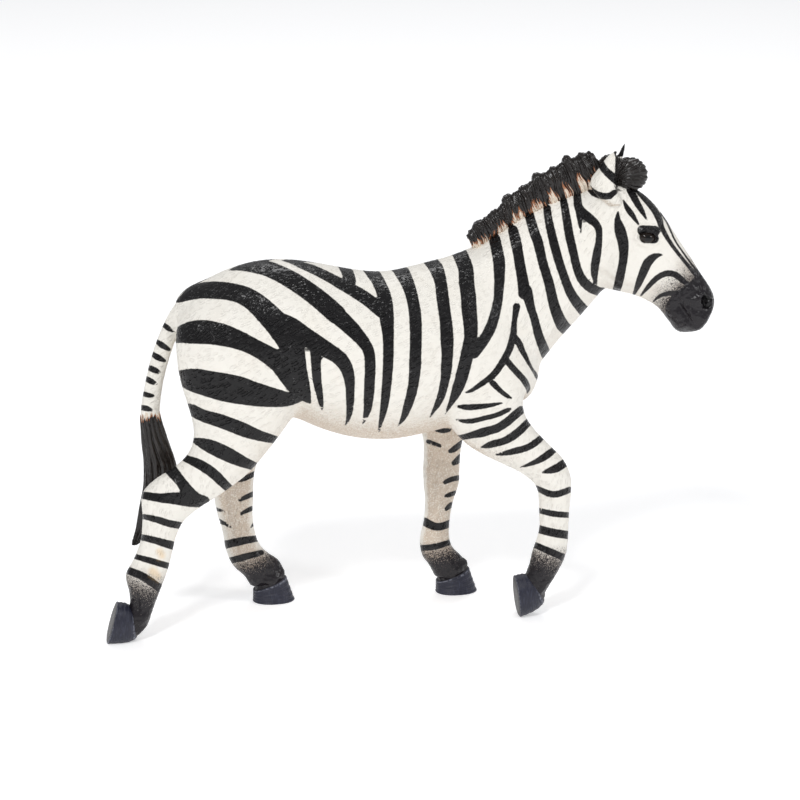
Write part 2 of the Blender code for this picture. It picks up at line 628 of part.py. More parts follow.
def build():
    clear_scene()

    # The trunk, neck, upper limbs and skull, fused and rounded into each other
    bm = bmesh.new()
    add_loft(bm, TRUNK, square=2.15, egg=0.10, sides=40)
    add_loft(bm, NECK, square=2.0, egg=0.10)
    for leg, *_ in LEGS:
        add_loft(bm, leg, square=2.1, sides=28)
    add_muscles(bm)
    add_head(bm)
    thing = fused("body", bm, GRAIN)
    relax(thing, body_share(points_of(thing)), BODY_PASSES)
    relax(thing, np.ones(len(thing.data.vertices)), LIMB_PASSES)

    # Ears, mane, tail and hooves
    bm = bmesh.new()
    bm.from_mesh(thing.data)
    tree = BVHTree.FromBMesh(bm)
    bpy.data.objects.remove(thing, do_unlink=True)
    add_eyes(bm, tree)
    add_ears(bm)
    add_mane(bm)
    add_loft(bm, DOCK, sides=20)
    add_loft(bm, TUFT, sides=24)
    for leg in LEGS:
        add_hoof(bm, *leg)
    thing = fused("zebra", bm, GRAIN * 0.85)
    relax(thing, np.ones(len(thing.data.vertices)), 1)
    carve_face(thing, tree)
    carve_forelock(thing)
    carve_tuft(thing)

    # Fewer triangles, flat soles, and the origin in the middle of the footprint
    x, _, z = points_of(thing).T
    head = (x > NECK[-1][0] - 2.0) & (z > HEAD[-1][1] - 6.0)
    plain = thing.vertex_groups.new(name="plain")
    plain.add(np.flatnonzero(~head).tolist(), 1.0, "REPLACE")
    plain.add(np.flatnonzero(head).tolist(), 0.5, "REPLACE")
    thin = thing.modifiers.new("Decimate", "DECIMATE")
    thin.ratio = TRIANGLES / (2.0 * len(thing.data.polygons))
    thin.vertex_group = plain.name
    thin.vertex_group_factor = HEAD_DETAIL
    thin.use_collapse_triangulate = True
    apply(thing)
    thing.vertex_groups.clear()
    bm = bmesh.new()
    bm.from_mesh(thing.data)
    cut = bmesh.ops.bisect_plane(
        bm,
        geom=bm.verts[:] + bm.edges[:] + bm.faces[:],
        plane_co=(0.0, 0.0, 0.0),
        plane_no=(0.0, 0.0, -1.0),
        clear_outer=True,
    )
    rim = [e for e in cut["geom_cut"] if isinstance(e, bmesh.types.BMEdge)]
    bmesh.ops.triangle_fill(bm, edges=rim, use_beauty=True)
    bmesh.ops.triangulate(bm, faces=bm.faces)
    bmesh.ops.recalc_face_normals(bm, faces=bm.faces)
    bm.to_mesh(thing.data)
    bm.free()
    thing.data.transform(Matrix.Scale(UNIT, 4))
    thing.data.shade_smooth()
    low, high = points_of(thing).min(0), points_of(thing).max(0)
    thing.location = (-(low[0] + high[0]) / 2, -(low[1] + high[1]) / 2, -low[2])

    paint = bpy.data.materials.new("zebra_paint")
    paint.use_nodes = True
    shader = paint.node_tree.nodes["Principled BSDF"]
    shader.inputs["Base Color"].default_value = PAINT_WHITE
    shader.inputs["Roughness"].default_value = PAINT_ROUGHNESS
    thing.data.materials.clear()
    thing.data.materials.append(paint)
    return thing


build()
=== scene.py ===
"""Looks of a walking zebra figurine: moulded plastic, painted by hand.

The CAD solid is loaded as a fixed frame. Every piece here is modelled finer
over the same sections, in millimetres with +X where the zebra walks to and -Y
its near side, and then set down in the CAD frame. The painter's strokes are
read off the photograph, in the pixels of its 800 by 800 frame, and laid on the
skin from the photograph's own viewpoint; the far side takes them mirrored.
"""

from __future__ import annotations

import logging
import math
from dataclasses import dataclass, field
from enum import Enum
from typing import Sequence

import bmesh
import bpy
import numpy as np
from mathutils import Matrix, Vector, noise
from mathutils.bvhtree import BVHTree
from mathutils.kdtree import KDTree

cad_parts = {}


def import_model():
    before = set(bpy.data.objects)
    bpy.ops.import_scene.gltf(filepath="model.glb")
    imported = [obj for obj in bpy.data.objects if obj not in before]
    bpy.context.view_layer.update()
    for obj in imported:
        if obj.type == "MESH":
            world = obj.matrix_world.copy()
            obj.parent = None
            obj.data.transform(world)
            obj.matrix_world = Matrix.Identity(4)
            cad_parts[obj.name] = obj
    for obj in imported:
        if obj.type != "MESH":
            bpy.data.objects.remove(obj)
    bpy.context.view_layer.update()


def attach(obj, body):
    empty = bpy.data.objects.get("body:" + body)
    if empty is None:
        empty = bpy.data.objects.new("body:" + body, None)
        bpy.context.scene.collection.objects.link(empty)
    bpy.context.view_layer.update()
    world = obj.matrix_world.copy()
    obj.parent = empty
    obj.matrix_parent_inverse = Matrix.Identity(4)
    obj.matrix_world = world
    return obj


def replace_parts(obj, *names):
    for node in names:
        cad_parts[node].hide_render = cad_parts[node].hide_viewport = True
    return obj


LOG = logging.getLogger("zebra")
MM = 0.001
SHIFT = (-1.43, 0.0, 0.0)
PHOTO_SIDE = 800
HEAD_TURN = 14.0
POLL = (44.0, 0.0, 0.0)

Rows = Sequence[Sequence[float]]
Spot = Sequence[float]
RGB = tuple[float, float, float]

# Sections of the trunk, rump to breast: top x, z, bottom x, z, centre y, half width
TRUNK: Rows = [
    (-49.0, 71.6, -48.6, 65.0, 0.0, 3.2),
    (-47.2, 73.8, -47.6, 59.0, 0.0, 6.6),
    (-43.6, 76.5, -43.5, 53.5, 0.0, 10.0),
    (-38.0, 79.2, -38.0, 50.0, 0.0, 12.2),
    (-31.0, 81.0, -31.0, 48.0, 0.0, 13.6),
    (-24.0, 81.0, -24.0, 46.4, 0.0, 14.4),
    (-17.5, 79.9, -18.0, 43.6, 0.0, 15.2),
    (-10.0, 78.2, -11.0, 41.4, 0.0, 15.8),
    (-3.0, 77.4, -3.0, 40.6, 0.0, 15.9),
    (4.0, 78.6, 4.0, 41.4, 0.0, 15.3),
    (10.5, 80.0, 10.5, 42.6, 0.0, 14.2),
    (16.5, 79.6, 17.5, 44.0, 0.0, 12.6),
    (21.0, 76.0, 24.2, 47.4, 0.0, 10.8),
    (25.0, 69.0, 28.2, 52.0, 0.0, 8.0),
]

# Sections of the neck, withers to poll: crest x, z, throat x, z, centre y, half width
NECK: Rows = [
    (4.0, 77.6, 16.0, 50.0, 0.0, 10.0),
    (11.0, 80.6, 26.0, 50.0, 0.0, 10.2),
    (16.0, 82.4, 31.4, 56.0, 0.0, 9.0),
    (21.5, 85.8, 35.6, 61.0, 0.0, 7.6),
    (27.5, 89.6, 39.4, 65.0, 0.0, 6.5),
    (33.5, 92.4, 42.8, 68.8, 0.0, 5.7),
    (39.5, 94.4, 45.6, 72.2, -0.2, 5.2),
    (45.0, 95.4, 48.6, 76.0, -0.6, 4.8),
]

# Sections of the head, poll to lips, before it is turned on the poll
HEAD: Rows = [
    (45.0, 96.0, 42.0, 77.0, 0.0, 4.4),
    (50.4, 95.4, 43.6, 73.8, 0.0, 5.2),
    (54.6, 92.6, 45.8, 72.2, 0.0, 5.7),
    (57.8, 89.0, 48.8, 71.5, 0.0, 5.8),
    (60.3, 85.3, 52.2, 70.7, 0.0, 5.3),
    (62.5, 82.0, 55.0, 69.5, 0.0, 4.6),
    (64.5, 79.1, 57.2, 68.2, 0.0, 4.2),
    (66.4, 76.1, 58.8, 66.4, 0.0, 4.0),
    (68.1, 73.7, 60.2, 64.4, 0.0, 4.1),
    (69.3, 71.7, 62.2, 63.0, 0.0, 4.3),
    (69.9, 69.7, 64.8, 62.5, 0.0, 4.1),
    (69.6, 67.8, 67.0, 63.4, 0.0, 3.3),
    (69.0, 66.6, 68.3, 64.8, 0.0, 1.8),
]

# Sections of each leg, top to pastern: front x, z, back x, z, centre y, half width
NEAR_HIND: Rows = [
    (-25.0, 72.0, -46.0, 74.0, -5.0, 5.6),
    (-21.5, 64.0, -49.6, 68.6, -6.4, 7.0),
    (-21.4, 57.0, -49.8, 62.0, -7.4, 7.6),
    (-23.4, 51.0, -48.9, 56.0, -8.2, 7.2),
    (-27.0, 45.8, -47.3, 50.4, -8.8, 6.2),
    (-31.0, 41.0, -46.6, 45.6, -9.2, 5.1),
    (-35.0, 36.6, -47.8, 41.6, -9.4, 4.3),
    (-40.4, 32.6, -51.2, 38.4, -9.5, 3.7),
    (-45.6, 29.4, -55.0, 36.2, -9.5, 3.4),
    (-49.1, 26.6, -58.0, 33.0, -9.6, 3.3),
    (-50.8, 23.2, -58.0, 27.8, -9.6, 3.1),
    (-51.7, 19.8, -58.6, 22.4, -9.7, 2.8),
    (-52.7, 16.0, -60.4, 18.0, -9.7, 2.8),
    (-54.0, 12.6, -62.0, 15.0, -9.8, 3.1),
    (-55.2, 9.6, -61.4, 11.4, -9.8, 2.9),
    (-56.4, 6.4, -61.2, 8.6, -9.8, 2.7),
    (-57.6, 3.2, -62.0, 5.8, -9.8, 2.7),
    (-59.8, 0.8, -62.8, 3.8, -9.8, 2.3),
]
FAR_HIND: Rows = [
    (-24.0, 72.0, -46.0, 74.0, 5.0, 5.6),
    (-20.0, 64.0, -49.2, 68.6, 6.4, 7.0),
    (-19.6, 57.0, -48.6, 62.0, 7.4, 7.6),
    (-20.6, 51.0, -47.0, 55.4, 8.2, 7.2),
    (-23.4, 45.6, -44.6, 49.4, 8.8, 6.2),
    (-26.4, 40.8, -42.6, 44.6, 9.2, 5.0),
    (-29.0, 36.4, -41.6, 40.2, 9.5, 4.2),
    (-30.8, 32.4, -42.0, 36.0, 9.7, 3.6),
    (-31.5, 28.6, -42.0, 31.8, 9.8, 3.4),
    (-31.6, 24.8, -40.8, 26.8, 9.9, 3.2),
    (-31.8, 20.6, -39.9, 21.6, 9.9, 2.9),
    (-31.4, 16.8, -38.7, 16.8, 9.9, 2.8),
    (-30.4, 13.6, -38.0, 12.4, 10.0, 3.1),
    (-28.4, 11.2, -36.4, 8.6, 10.0, 3.0),
    (-26.0, 9.4, -34.0, 6.2, 10.0, 2.9),
    (-24.6, 6.4, -32.6, 3.6, 10.0, 3.0),
]
NEAR_FORE: Rows = [
    (20.0, 72.0, 6.0, 68.0, -5.6, 4.4),
    (25.0, 63.0, 6.6, 58.0, -7.4, 5.6),
    (26.6, 55.0, 7.6, 50.0, -8.4, 6.0),
    (25.6, 49.2, 9.6, 44.4, -9.0, 5.6),
    (26.8, 45.4, 13.2, 40.4, -9.2, 5.0),
    (29.1, 42.2, 17.4, 37.6, -9.3, 4.5),
    (32.0, 39.0, 21.9, 35.2, -9.3, 4.0),
    (34.8, 36.0, 26.0, 32.8, -9.3, 3.7),
    (36.5, 32.2, 28.6, 30.2, -9.3, 3.6),
    (36.7, 28.4, 29.4, 27.6, -9.3, 3.4),
    (36.4, 24.4, 29.6, 24.2, -9.3, 2.9),
    (36.3, 20.4, 29.7, 20.2, -9.3, 2.7),
    (36.2, 16.6, 29.0, 17.0, -9.3, 2.8),
    (35.5, 13.0, 28.2, 14.8, -9.3, 3.1),
    (33.7, 9.4, 27.7, 12.2, -9.3, 2.9),
    (31.9, 6.4, 26.8, 9.6, -9.3, 2.7),
    (30.0, 3.2, 25.8, 7.2, -9.3, 2.6),
]
FAR_FORE: Rows = [
    (19.0, 72.0, 5.0, 68.0, 5.6, 4.4),
    (21.6, 63.0, 4.0, 60.0, 7.2, 5.6),
    (21.6, 55.0, 3.2, 52.4, 8.2, 6.0),
    (19.6, 48.0, 4.0, 46.0, 8.6, 5.6),
    (17.6, 42.6, 5.6, 41.0, 8.8, 4.8),
    (16.2, 37.8, 6.8, 36.8, 8.8, 4.1),
    (15.4, 33.4, 7.0, 32.8, 8.8, 3.6),
    (15.2, 29.2, 6.8, 29.0, 8.8, 3.5),
    (15.0, 25.6, 7.0, 25.4, 8.8, 3.2),
    (13.8, 21.8, 7.3, 21.8, 8.8, 2.8),
    (13.0, 17.4, 7.0, 17.2, 8.8, 2.7),
    (12.9, 13.2, 6.1, 12.6, 8.8, 2.9),
    (13.8, 10.4, 6.6, 9.0, 8.8, 2.9),
    (15.8, 8.3, 8.2, 6.6, 8.8, 2.8),
    (17.2, 5.6, 9.6, 3.6, 8.8, 2.9),
]

# The tail's dock and its tuft: left x, z, right x, z, centre y, half width
DOCK: Rows = [
    (-45.6, 74.2, -44.6, 69.6, 0.0, 2.6),
    (-49.0, 72.2, -46.0, 69.0, 0.0, 2.2),
    (-51.4, 68.4, -48.0, 66.8, 0.0, 1.9),
    (-53.9, 62.4, -50.2, 61.4, 0.0, 1.8),
    (-55.8, 55.6, -52.0, 55.0, 0.0, 1.8),
    (-57.0, 49.0, -52.9, 48.8, 0.0, 1.9),
    (-56.9, 45.0, -53.0, 45.0, 0.0, 1.8),
]
TUFT: Rows = [
    (-56.9, 49.2, -53.0, 49.0, 0.0, 1.9),
    (-57.4, 46.6, -52.4, 46.4, 0.0, 2.4),
    (-57.1, 41.6, -50.8, 41.2, 0.0, 2.7),
    (-56.8, 36.0, -49.4, 35.4, 0.0, 2.8),
    (-57.3, 30.4, -50.4, 29.6, 0.0, 2.6),
    (-58.4, 25.0, -53.2, 24.0, 0.0, 2.1),
    (-59.4, 20.6, -56.2, 19.8, 0.0, 1.3),
    (-59.9, 18.4, -58.8, 18.2, 0.0, 0.5),
]

# The painter's strokes: x, y and full width, in the photograph's pixels
FLANK_STRIPES: list[Rows] = [
    [
        (460, 254, 14.7), (465.6, 268.1, 15.2), (466.5, 282.1, 15.4), (468.4, 296.1, 15.4),
        (469.2, 310.2, 15.4), (470.6, 324.2, 14.5), (470.6, 338.2, 13.3), (467.7, 352.2, 13.3),
        (464.4, 366.3, 12.9), (460.7, 380.3, 12.3), (456.4, 391.5, 10.4), (451.8, 401.4, 6.2),
        (444.8, 414.3, 0.8),
    ],
    [
        (494.7, 239.4, 11.8), (497.1, 250.6, 11.8), (499.2, 262.9, 12.2), (499.2, 283.3, 10.2),
        (498, 299.6, 9.4), (495.1, 313.9, 10.2), (490.4, 328.2, 11), (482.2, 342.4, 11),
        (473.5, 352.7, 12.2),
    ],
    [
        (429.8, 261, 11.9), (436.1, 268.1, 14), (440.7, 282.1, 12.2), (442.4, 296.1, 12.6),
        (444.4, 310.2, 12.3), (446.2, 324.2, 12.6), (447, 338.2, 13.3), (447.3, 352.2, 11.8),
        (446.6, 366.3, 11.2), (444.9, 380.3, 9.3), (441.7, 394.3, 8.1), (437.5, 404.2, 6.2),
        (429.6, 417.6, 0.7),
    ],
    [
        (400.3, 268.8, 15.4), (407.1, 282.1, 13.3), (411.8, 296.1, 12.1), (414.6, 310.2, 12.1),
        (415.6, 324.2, 12.3), (415.9, 338.2, 11.9), (415.5, 352.2, 11.9), (415.1, 366.3, 12.1),
        (413.9, 380.3, 10.7), (411.3, 394.3, 10.1), (406.9, 408.4, 8.4), (403.1, 418.2, 5.3),
        (397.7, 426.6, 0.7),
    ],
    [
        (370.2, 269.2, 13.3), (378.6, 282.1, 12.6), (384.2, 296.1, 13.8), (385.9, 310.2, 15.4),
        (387.3, 324.2, 13.3), (388.3, 338.2, 11.2), (388.4, 352.2, 10.7), (388, 366.3, 10.5),
        (387, 380.3, 9.8), (385.7, 394.3, 9.3), (383.9, 408.4, 7.6), (381.4, 419.6, 5.1),
        (378.9, 431.1, 2.1),
    ],
    [
        (280.4, 259.8, 1), (291.6, 261.3, 5.3), (302.8, 265.7, 7.3), (314, 269.9, 9),
        (328.1, 276.8, 9.8), (342.1, 284.6, 11.2), (356.1, 292.2, 12.6), (370.2, 301.7, 13.3),
        (381.4, 311.6, 12.6),
    ],
    [(344.6, 266, 12.1), (347.7, 273, 11.8), (349.8, 280.7, 12.6)],
]
HAUNCH_STRIPES: list[Rows] = [
    [
        (227, 269.7, 1.7), (241, 267.4, 6.7), (252.2, 266.7, 11.9), (266.3, 268.3, 15.4),
        (280.3, 274.1, 16.8), (294.3, 281.7, 18), (308.4, 291.2, 18.5), (322.4, 302, 19.1),
        (336.4, 314.4, 19.4),
    ],
    [
        (328.1, 307.3, 18.9), (342.1, 319.7, 16.8), (354.7, 331.9, 14.7), (363.8, 342.4, 12.3),
        (369, 352.2, 11.2), (370.2, 366.3, 10.9), (369.7, 380.3, 10.9), (369, 394.3, 10.4),
        (367.6, 408.4, 8.1), (365.2, 417.5, 4.8), (362.6, 424.4, 1),
    ],
    [
        (175.8, 302.6, 1.4), (182.1, 298.7, 7), (190.5, 294, 12.3), (200.3, 290.8, 15.7),
        (213, 290.1, 17.4), (227, 291.2, 17.7), (241, 294.4, 18.5), (252.2, 300.3, 20.3),
        (263.5, 309.9, 22.4), (274.7, 321.4, 24.1), (284.5, 333.3, 25.3), (291.5, 345.2, 24.6),
        (295, 356.5, 21), (297.4, 369.1, 18.9), (301.4, 381.7, 15.7), (306.3, 392.9, 9.3),
        (310.6, 404.2, 1.4),
    ],
    [
        (283.2, 324.2, 21), (291.6, 328.1, 21), (300, 333.3, 19.4), (311.2, 340.3, 18),
        (322.4, 347.3, 17.1), (332.3, 353, 15.2), (340.7, 359.3, 14.6), (346.3, 367.7, 13.2),
        (349.1, 377.5, 11.2), (350.1, 388.7, 9.1), (350.1, 401.4, 8.1), (349.4, 412.6, 6.2),
        (347.1, 422.1, 3.1), (344.9, 425.8, 0.7),
    ],
    [
        (314.7, 343.8, 13.3), (315.7, 352.2, 11.2), (316.1, 366.3, 9.8), (317.1, 380.3, 9),
        (319.6, 394.3, 7), (321.3, 404.2, 4.8), (322.2, 410.1, 1.1),
    ],
    [
        (176.8, 336.1, 14), (182.1, 334.3, 17.5), (190.5, 332.6, 22.2), (200.3, 332, 24.1),
        (210.2, 332.6, 23.6), (224.2, 335.4, 21.9), (238.2, 339.9, 19.1), (252.2, 346.2, 17.1),
        (266.3, 353.9, 18), (280.3, 363.5, 20.8), (288.7, 373.3, 22.4), (297.1, 385.9, 19.6),
        (304.9, 396, 11.2), (309.8, 402.8, 2),
    ],
    [
        (181.4, 376.8, 13.3), (187.7, 378.9, 19.6), (196.1, 380.7, 24.1), (210.2, 384.1, 26.4),
        (224.2, 387.3, 28.1), (238.2, 390.1, 27.8), (252.2, 393.6, 24.7), (266.3, 396.4, 21.3),
        (280.3, 398.6, 17.1), (291.5, 399.4, 11.8), (300, 398.3, 7),
    ],
    [
        (189.1, 407.7, 8.4), (193.3, 410.5, 11.8), (203.1, 415.7, 12.3), (217.2, 419.9, 13.5),
        (231.2, 424.9, 14), (245.2, 430.5, 13.8), (259.3, 435.6, 10.9), (273.3, 439.2, 8.4),
        (278.2, 440.4, 7),
    ],
]
NEAR_HIND_STRIPES: list[Rows] = [
    [
        (193, 439.9, 4.1), (198.4, 441.8, 8.3), (208, 445.4, 13.1), (217.6, 449.7, 14.7),
        (230.3, 455.8, 14.3), (243.1, 461.9, 11.5), (251.4, 465.1, 9.3), (260, 469, 8),
    ],
    [
        (185.7, 458.4, 7.3), (198.4, 463.8, 9.9), (211.2, 471.7, 10.5), (220.7, 480.5, 9.9),
        (226.8, 486.4, 9), (233, 492, 8),
    ],
    [
        (168, 465, 12), (170.4, 469.1, 12.4), (181.3, 482.2, 10.6), (187.9, 491.7, 13),
        (195.5, 498.4, 12), (205, 500.4, 9),
    ],
    [
        (144.2, 495.5, 7.7), (160.4, 497.9, 9.2), (177.5, 498.6, 12.6), (190.8, 501, 12),
        (202, 503.6, 8),
    ],
    [(143.9, 516.7, 5.4), (157, 519.6, 6.7), (169.7, 523.6, 7.3), (180.9, 525.6, 7)],
    [(140.7, 537.1, 6.1), (153.8, 540, 7), (172.1, 545.4, 8.6)],
    [(135.6, 556.6, 5.4), (150.6, 560.7, 6.4), (167.6, 565.8, 6.4)],
    [(128.7, 570.6, 7.7), (144.2, 577.3, 8.3), (160.2, 588.5, 8.6)],
]
NEAR_FORE_STRIPES: list[Rows] = [
    [
        (458.7, 406.7, 3.2), (463.1, 407, 5), (470.4, 407.3, 6.2), (485.1, 406, 5),
        (495.3, 404.3, 3.5), (502.4, 402.9, 1.5),
    ],
    [
        (455.7, 419.5, 1.2), (463, 421, 3.9), (472, 421.1, 5), (485, 418, 5),
        (495, 415.6, 5), (503, 412.4, 5), (508, 410, 4.5), (510.4, 408.8, 2.5),
    ],
    [
        (458.2, 436.6, 2.6), (462.3, 437.1, 5.6), (468.4, 436, 6.3), (476.3, 434, 7.9),
        (482.4, 432.6, 9.3), (489, 430.6, 8.8), (496, 428.8, 8.6), (502.5, 425, 8.6),
        (508, 421.3, 8.6), (514, 415.9, 8.6), (521, 410.2, 8.4),
    ],
    [
        (481.4, 447.2, 1.5), (488, 445.4, 6), (494, 443.6, 7.2), (501, 442, 7.4),
        (509, 438.6, 8), (515, 434.6, 8.4), (521, 429.6, 8.2), (526, 424.6, 7.8),
        (532, 418.6, 7),
    ],
    [
        (496.8, 454.7, 2.1), (506.5, 453, 5.3), (516.8, 450.5, 6.6), (527.9, 447.4, 6.7),
        (536.1, 442.2, 7), (541.4, 437.6, 5.9),
    ],
    [
        (520.3, 467.5, 1), (530, 464.1, 4.1), (539.2, 460.1, 6.3), (547.3, 455, 7.6),
        (553.3, 450.3, 6.5),
    ],
    [(542.7, 472.3, 2.1), (550.4, 470.4, 6.7), (557.5, 467.8, 8.5), (564, 463.4, 8.5)],
    [
        (536.7, 488, 5), (544.5, 491.8, 6.2), (552.6, 494.5, 6.7), (561.4, 493, 6.5),
        (569.3, 489.8, 6.2),
    ],
    [(539.4, 510.6, 5.3), (553.3, 513.8, 6.2), (567.8, 515, 5.9)],
    [(538.8, 529.1, 8.2), (553.3, 532.8, 8.5), (567.5, 535, 8.2)],
    [(533.9, 544.6, 6.2), (548.2, 550.8, 7), (564.3, 557.8, 7.3)],
]
FAR_HIND_STRIPES: list[Rows] = [
    [(253.9, 474, 5.3), (245.5, 478.1, 5.2), (238.7, 481.2, 3.4)],
    [(252.6, 494.1, 5.3), (245.5, 497.3, 5.0), (239.9, 500.1, 3.4)],
    [(251.8, 508.4, 5.0), (245.5, 511.3, 4.4), (241.0, 513.8, 3.2)],
    [(254.5, 523.4, 3.5), (251, 527.1, 1.9)],
    [(209.6, 494.4, 3.8), (212.8, 495.3, 3.5), (215.6, 496.3, 1.6)],
    [(212.4, 508.1, 4.1), (219.1, 510, 3.2), (225, 511.8, 1.1)],
    [(218.3, 520.7, 4.5), (225.5, 524, 3.5), (231.4, 527.7, 1.1)],
    [(224.9, 544.8, 8.3), (241.5, 541.1, 8), (257.4, 538.4, 6.4)],
    [(229, 561, 6.4), (244.7, 557, 7), (261.4, 552.6, 5.7)],
]
FAR_FORE_STRIPES: list[Rows] = [
    [
        (434.2, 429.8, 1.8), (438.1, 430.4, 4.1), (443.3, 430.8, 5), (447.7, 430.4, 4.4),
        (450.9, 429.6, 2.3),
    ],
    [(427.9, 441.4, 4.2), (434.5, 443.8, 4.2), (440, 445.8, 3.6)],
    [(462.2, 442.2, 4.9), (457.9, 446.2, 6.2), (452.8, 449.9, 5.8), (450.1, 451.2, 4.4)],
    [(460.9, 456.9, 6.6), (456.5, 461.2, 6.6), (453.4, 463.4, 4.8)],
    [(460.4, 477.3, 5.3), (451.3, 479.4, 5.3), (446.5, 481.4, 4.8), (444.8, 482.4, 4.2)],
    [(455.2, 492.8, 4.6), (449.9, 494.6, 4.8), (445.9, 496.2, 3.8)],
    [(451.3, 504.6, 5.0), (448.2, 507.2, 5.0), (446.2, 509.2, 3.8)],
    [(424.9, 521.8, 8.6), (432.4, 525.8, 8.2), (440.4, 526.8, 7.8), (449.9, 523.4, 7.2)],
    [(420.2, 548.2, 5.9), (435.2, 546.7, 6.5), (450.5, 542, 5.6)],
]
DOCK_STRIPES: list[Rows] = [
    [(163.2, 324.5, 4.5), (168.8, 328.7, 5.1), (175.1, 332.6, 1.1)],
    [(156.6, 341.3, 4.2), (162.4, 345.5, 6.2), (168.9, 349.4, 3.9)],
    [(152.3, 353.9, 4.5), (158.2, 357.6, 6.5), (164.7, 360.9, 3.4)],
    [(148.4, 367.4, 4.8), (154, 369.8, 6.5), (159.1, 372.2, 3.6)],
    [(145.3, 378.2, 4.8), (150.5, 381, 6.2), (156, 383.7, 3.4)],
    [(142.8, 393.6, 4.8), (148.4, 395.2, 5.3), (152.8, 395.7, 3.4)],
    [(140.7, 407.3, 5.1), (146.3, 408.4, 5.9), (151.5, 410.1, 3.4)],
]
NECK_STRIPES: list[Rows] = [
    [
        (512.9, 230.2, 10.2), (515.5, 240.4, 11), (518, 252.7, 10.6), (520.4, 266.9, 10.6),
        (523.3, 283.3, 11.4), (524.1, 293.5, 11.8),
    ],
    [
        (516.6, 306.6, 7.5), (515.6, 313.4, 6.2), (514.3, 321.5, 5.5), (513.5, 333, 6.7),
        (511, 344.4, 7.2), (508.9, 350.2, 7.2), (506.1, 355.9, 6.9), (502.1, 362.8, 7.2),
        (497.6, 369.7, 6.9), (492.1, 376, 6.6), (485.5, 381.2, 5.9), (478.6, 385.8, 5.2),
        (471.7, 390.4, 3.8), (465.4, 392.7, 1.7),
    ],
    [
        (515.4, 337.6, 6.3), (519.7, 344.4, 6.6), (522, 350.2, 6), (525.1, 355.9, 5.1),
        (528.1, 361.7, 3.9), (531.1, 367.4, 3), (534.6, 372.6, 3.4), (536.9, 377.2, 3.6),
        (537.9, 381.1, 0.9),
    ],
    [
        (506.7, 360.5, 6.3), (511.9, 366.8, 6.6), (517.1, 372.6, 6.6), (522.5, 378.3, 6.6),
        (526, 383.5, 6.3), (528.1, 388.6, 4.9), (527.4, 393, 1.5),
    ],
    [
        (492.4, 382.6, 6.3), (498.1, 388.6, 5.3), (503.3, 393.2, 4.7), (507.9, 396.4, 3.9),
        (511, 397.9, 2.3),
    ],
    [
        (527.1, 291.4, 11), (530.2, 305.7, 9), (533.5, 315.9, 8.2), (536.3, 326.1, 8.6),
        (539, 336.3, 9.2), (542.9, 346.5, 9.8), (546.1, 354.7, 10.2),
    ],
    [
        (529.2, 214.9, 9.8), (534.3, 232.2, 10.2), (538, 242.4, 10.2), (542.9, 262.9, 9.4),
        (549, 283.3, 9.8), (553.7, 303.7, 10.6), (557.1, 313.9, 11.4), (562.4, 325.1, 12.7),
        (567.8, 330.2, 11.8),
    ],
    [
        (546.9, 208.2, 7.8), (549, 222, 8.2), (553.7, 242.4, 9.2), (559.4, 262.9, 9),
        (562.9, 273.1, 8.8), (566.5, 283.3, 9), (571, 293.5, 9.8), (576.7, 302.2, 10.6),
        (584.1, 311, 11.4),
    ],
    [
        (563.3, 199.2, 7.3), (566.5, 218, 8.6), (570, 238.4, 9), (573.5, 252.7, 8.6),
        (576.7, 266.9, 8.6), (581.2, 278.2, 9.4), (588.4, 286.3, 9.8), (597.6, 291, 9.2),
        (602.9, 289.8, 4.9),
    ],
    [
        (577.1, 193.9, 7.8), (578.8, 207.8, 9), (586.3, 215.9, 9.8), (593.5, 221.6, 8.6),
        (598.6, 228.2, 6.9), (599, 240.4, 6.7), (597.1, 252.7, 8.6), (595.1, 264.9, 8.6),
        (594.5, 275.1, 6.9), (596.3, 284.5, 2),
    ],
    [(578.8, 209.8, 7.3), (579.8, 220, 5.3), (580.4, 228.2, 2.9), (580.8, 233.9, 1)],
]
FACE_STRIPES: list[Rows] = [
    [
        (618, 211.8, 1.6), (617.6, 220, 6.5), (620, 230.2, 11.2), (623.1, 242.4, 11),
        (623.7, 254.7, 9), (622.4, 264.9, 8.6), (620.4, 275.1, 9), (618, 285.3, 8.6),
        (615.9, 291.8, 7.3),
    ],
    [(630.2, 189.8, 7.8), (636.3, 201.6, 6.9), (642.4, 211.8, 4.9), (647.1, 220.4, 1)],
    [
        (636.3, 190.4, 3.7), (644.5, 198.6, 5.7), (652.7, 207.8, 6.5), (658.8, 218, 6.9),
        (662.0, 228.2, 5.4), (668.8, 240.4, 4.3), (676.0, 250.6, 3.8), (684.9, 261.8, 3.7),
        (695.2, 274.1, 4.6),
    ],
    [
        (660.4, 212.9, 1.4), (666.7, 222, 1.8), (671.2, 232.2, 2.0), (675.6, 241.4, 1.8),
        (682.4, 251.6, 1.8), (692.4, 265.3, 2.0), (698.4, 272.4, 2.4),
    ],
    [(623.3, 200.2, 1.4), (627.1, 207.8, 5.3), (632.2, 214.9, 5.5), (638.6, 224.3, 2)],
    [(642.4, 230.4, 10.4), (654.8, 231, 10.6)],
    [(645, 237.6, 11), (653.8, 238.4, 10.4)],
    [
        (662.2, 254.7, 1.6), (654.7, 256.3, 6.5), (648, 262.4, 9), (642.9, 273.1, 8.6),
        (638.4, 284.3, 6.5), (633.5, 295.1, 2.4),
    ],
    [
        (641, 295.5, 1.8), (648.6, 286.3, 4.9), (656.7, 278.2, 5.7), (665.9, 273.5, 6.1),
        (675.1, 274.5, 6.5), (682.2, 280.2, 6.1), (686.3, 283.3, 4.9),
    ],
    [(653.3, 301.6, 1.6), (659.8, 295.9, 3.7), (668, 293.5, 4.9), (678.2, 293.5, 6.1)],
]
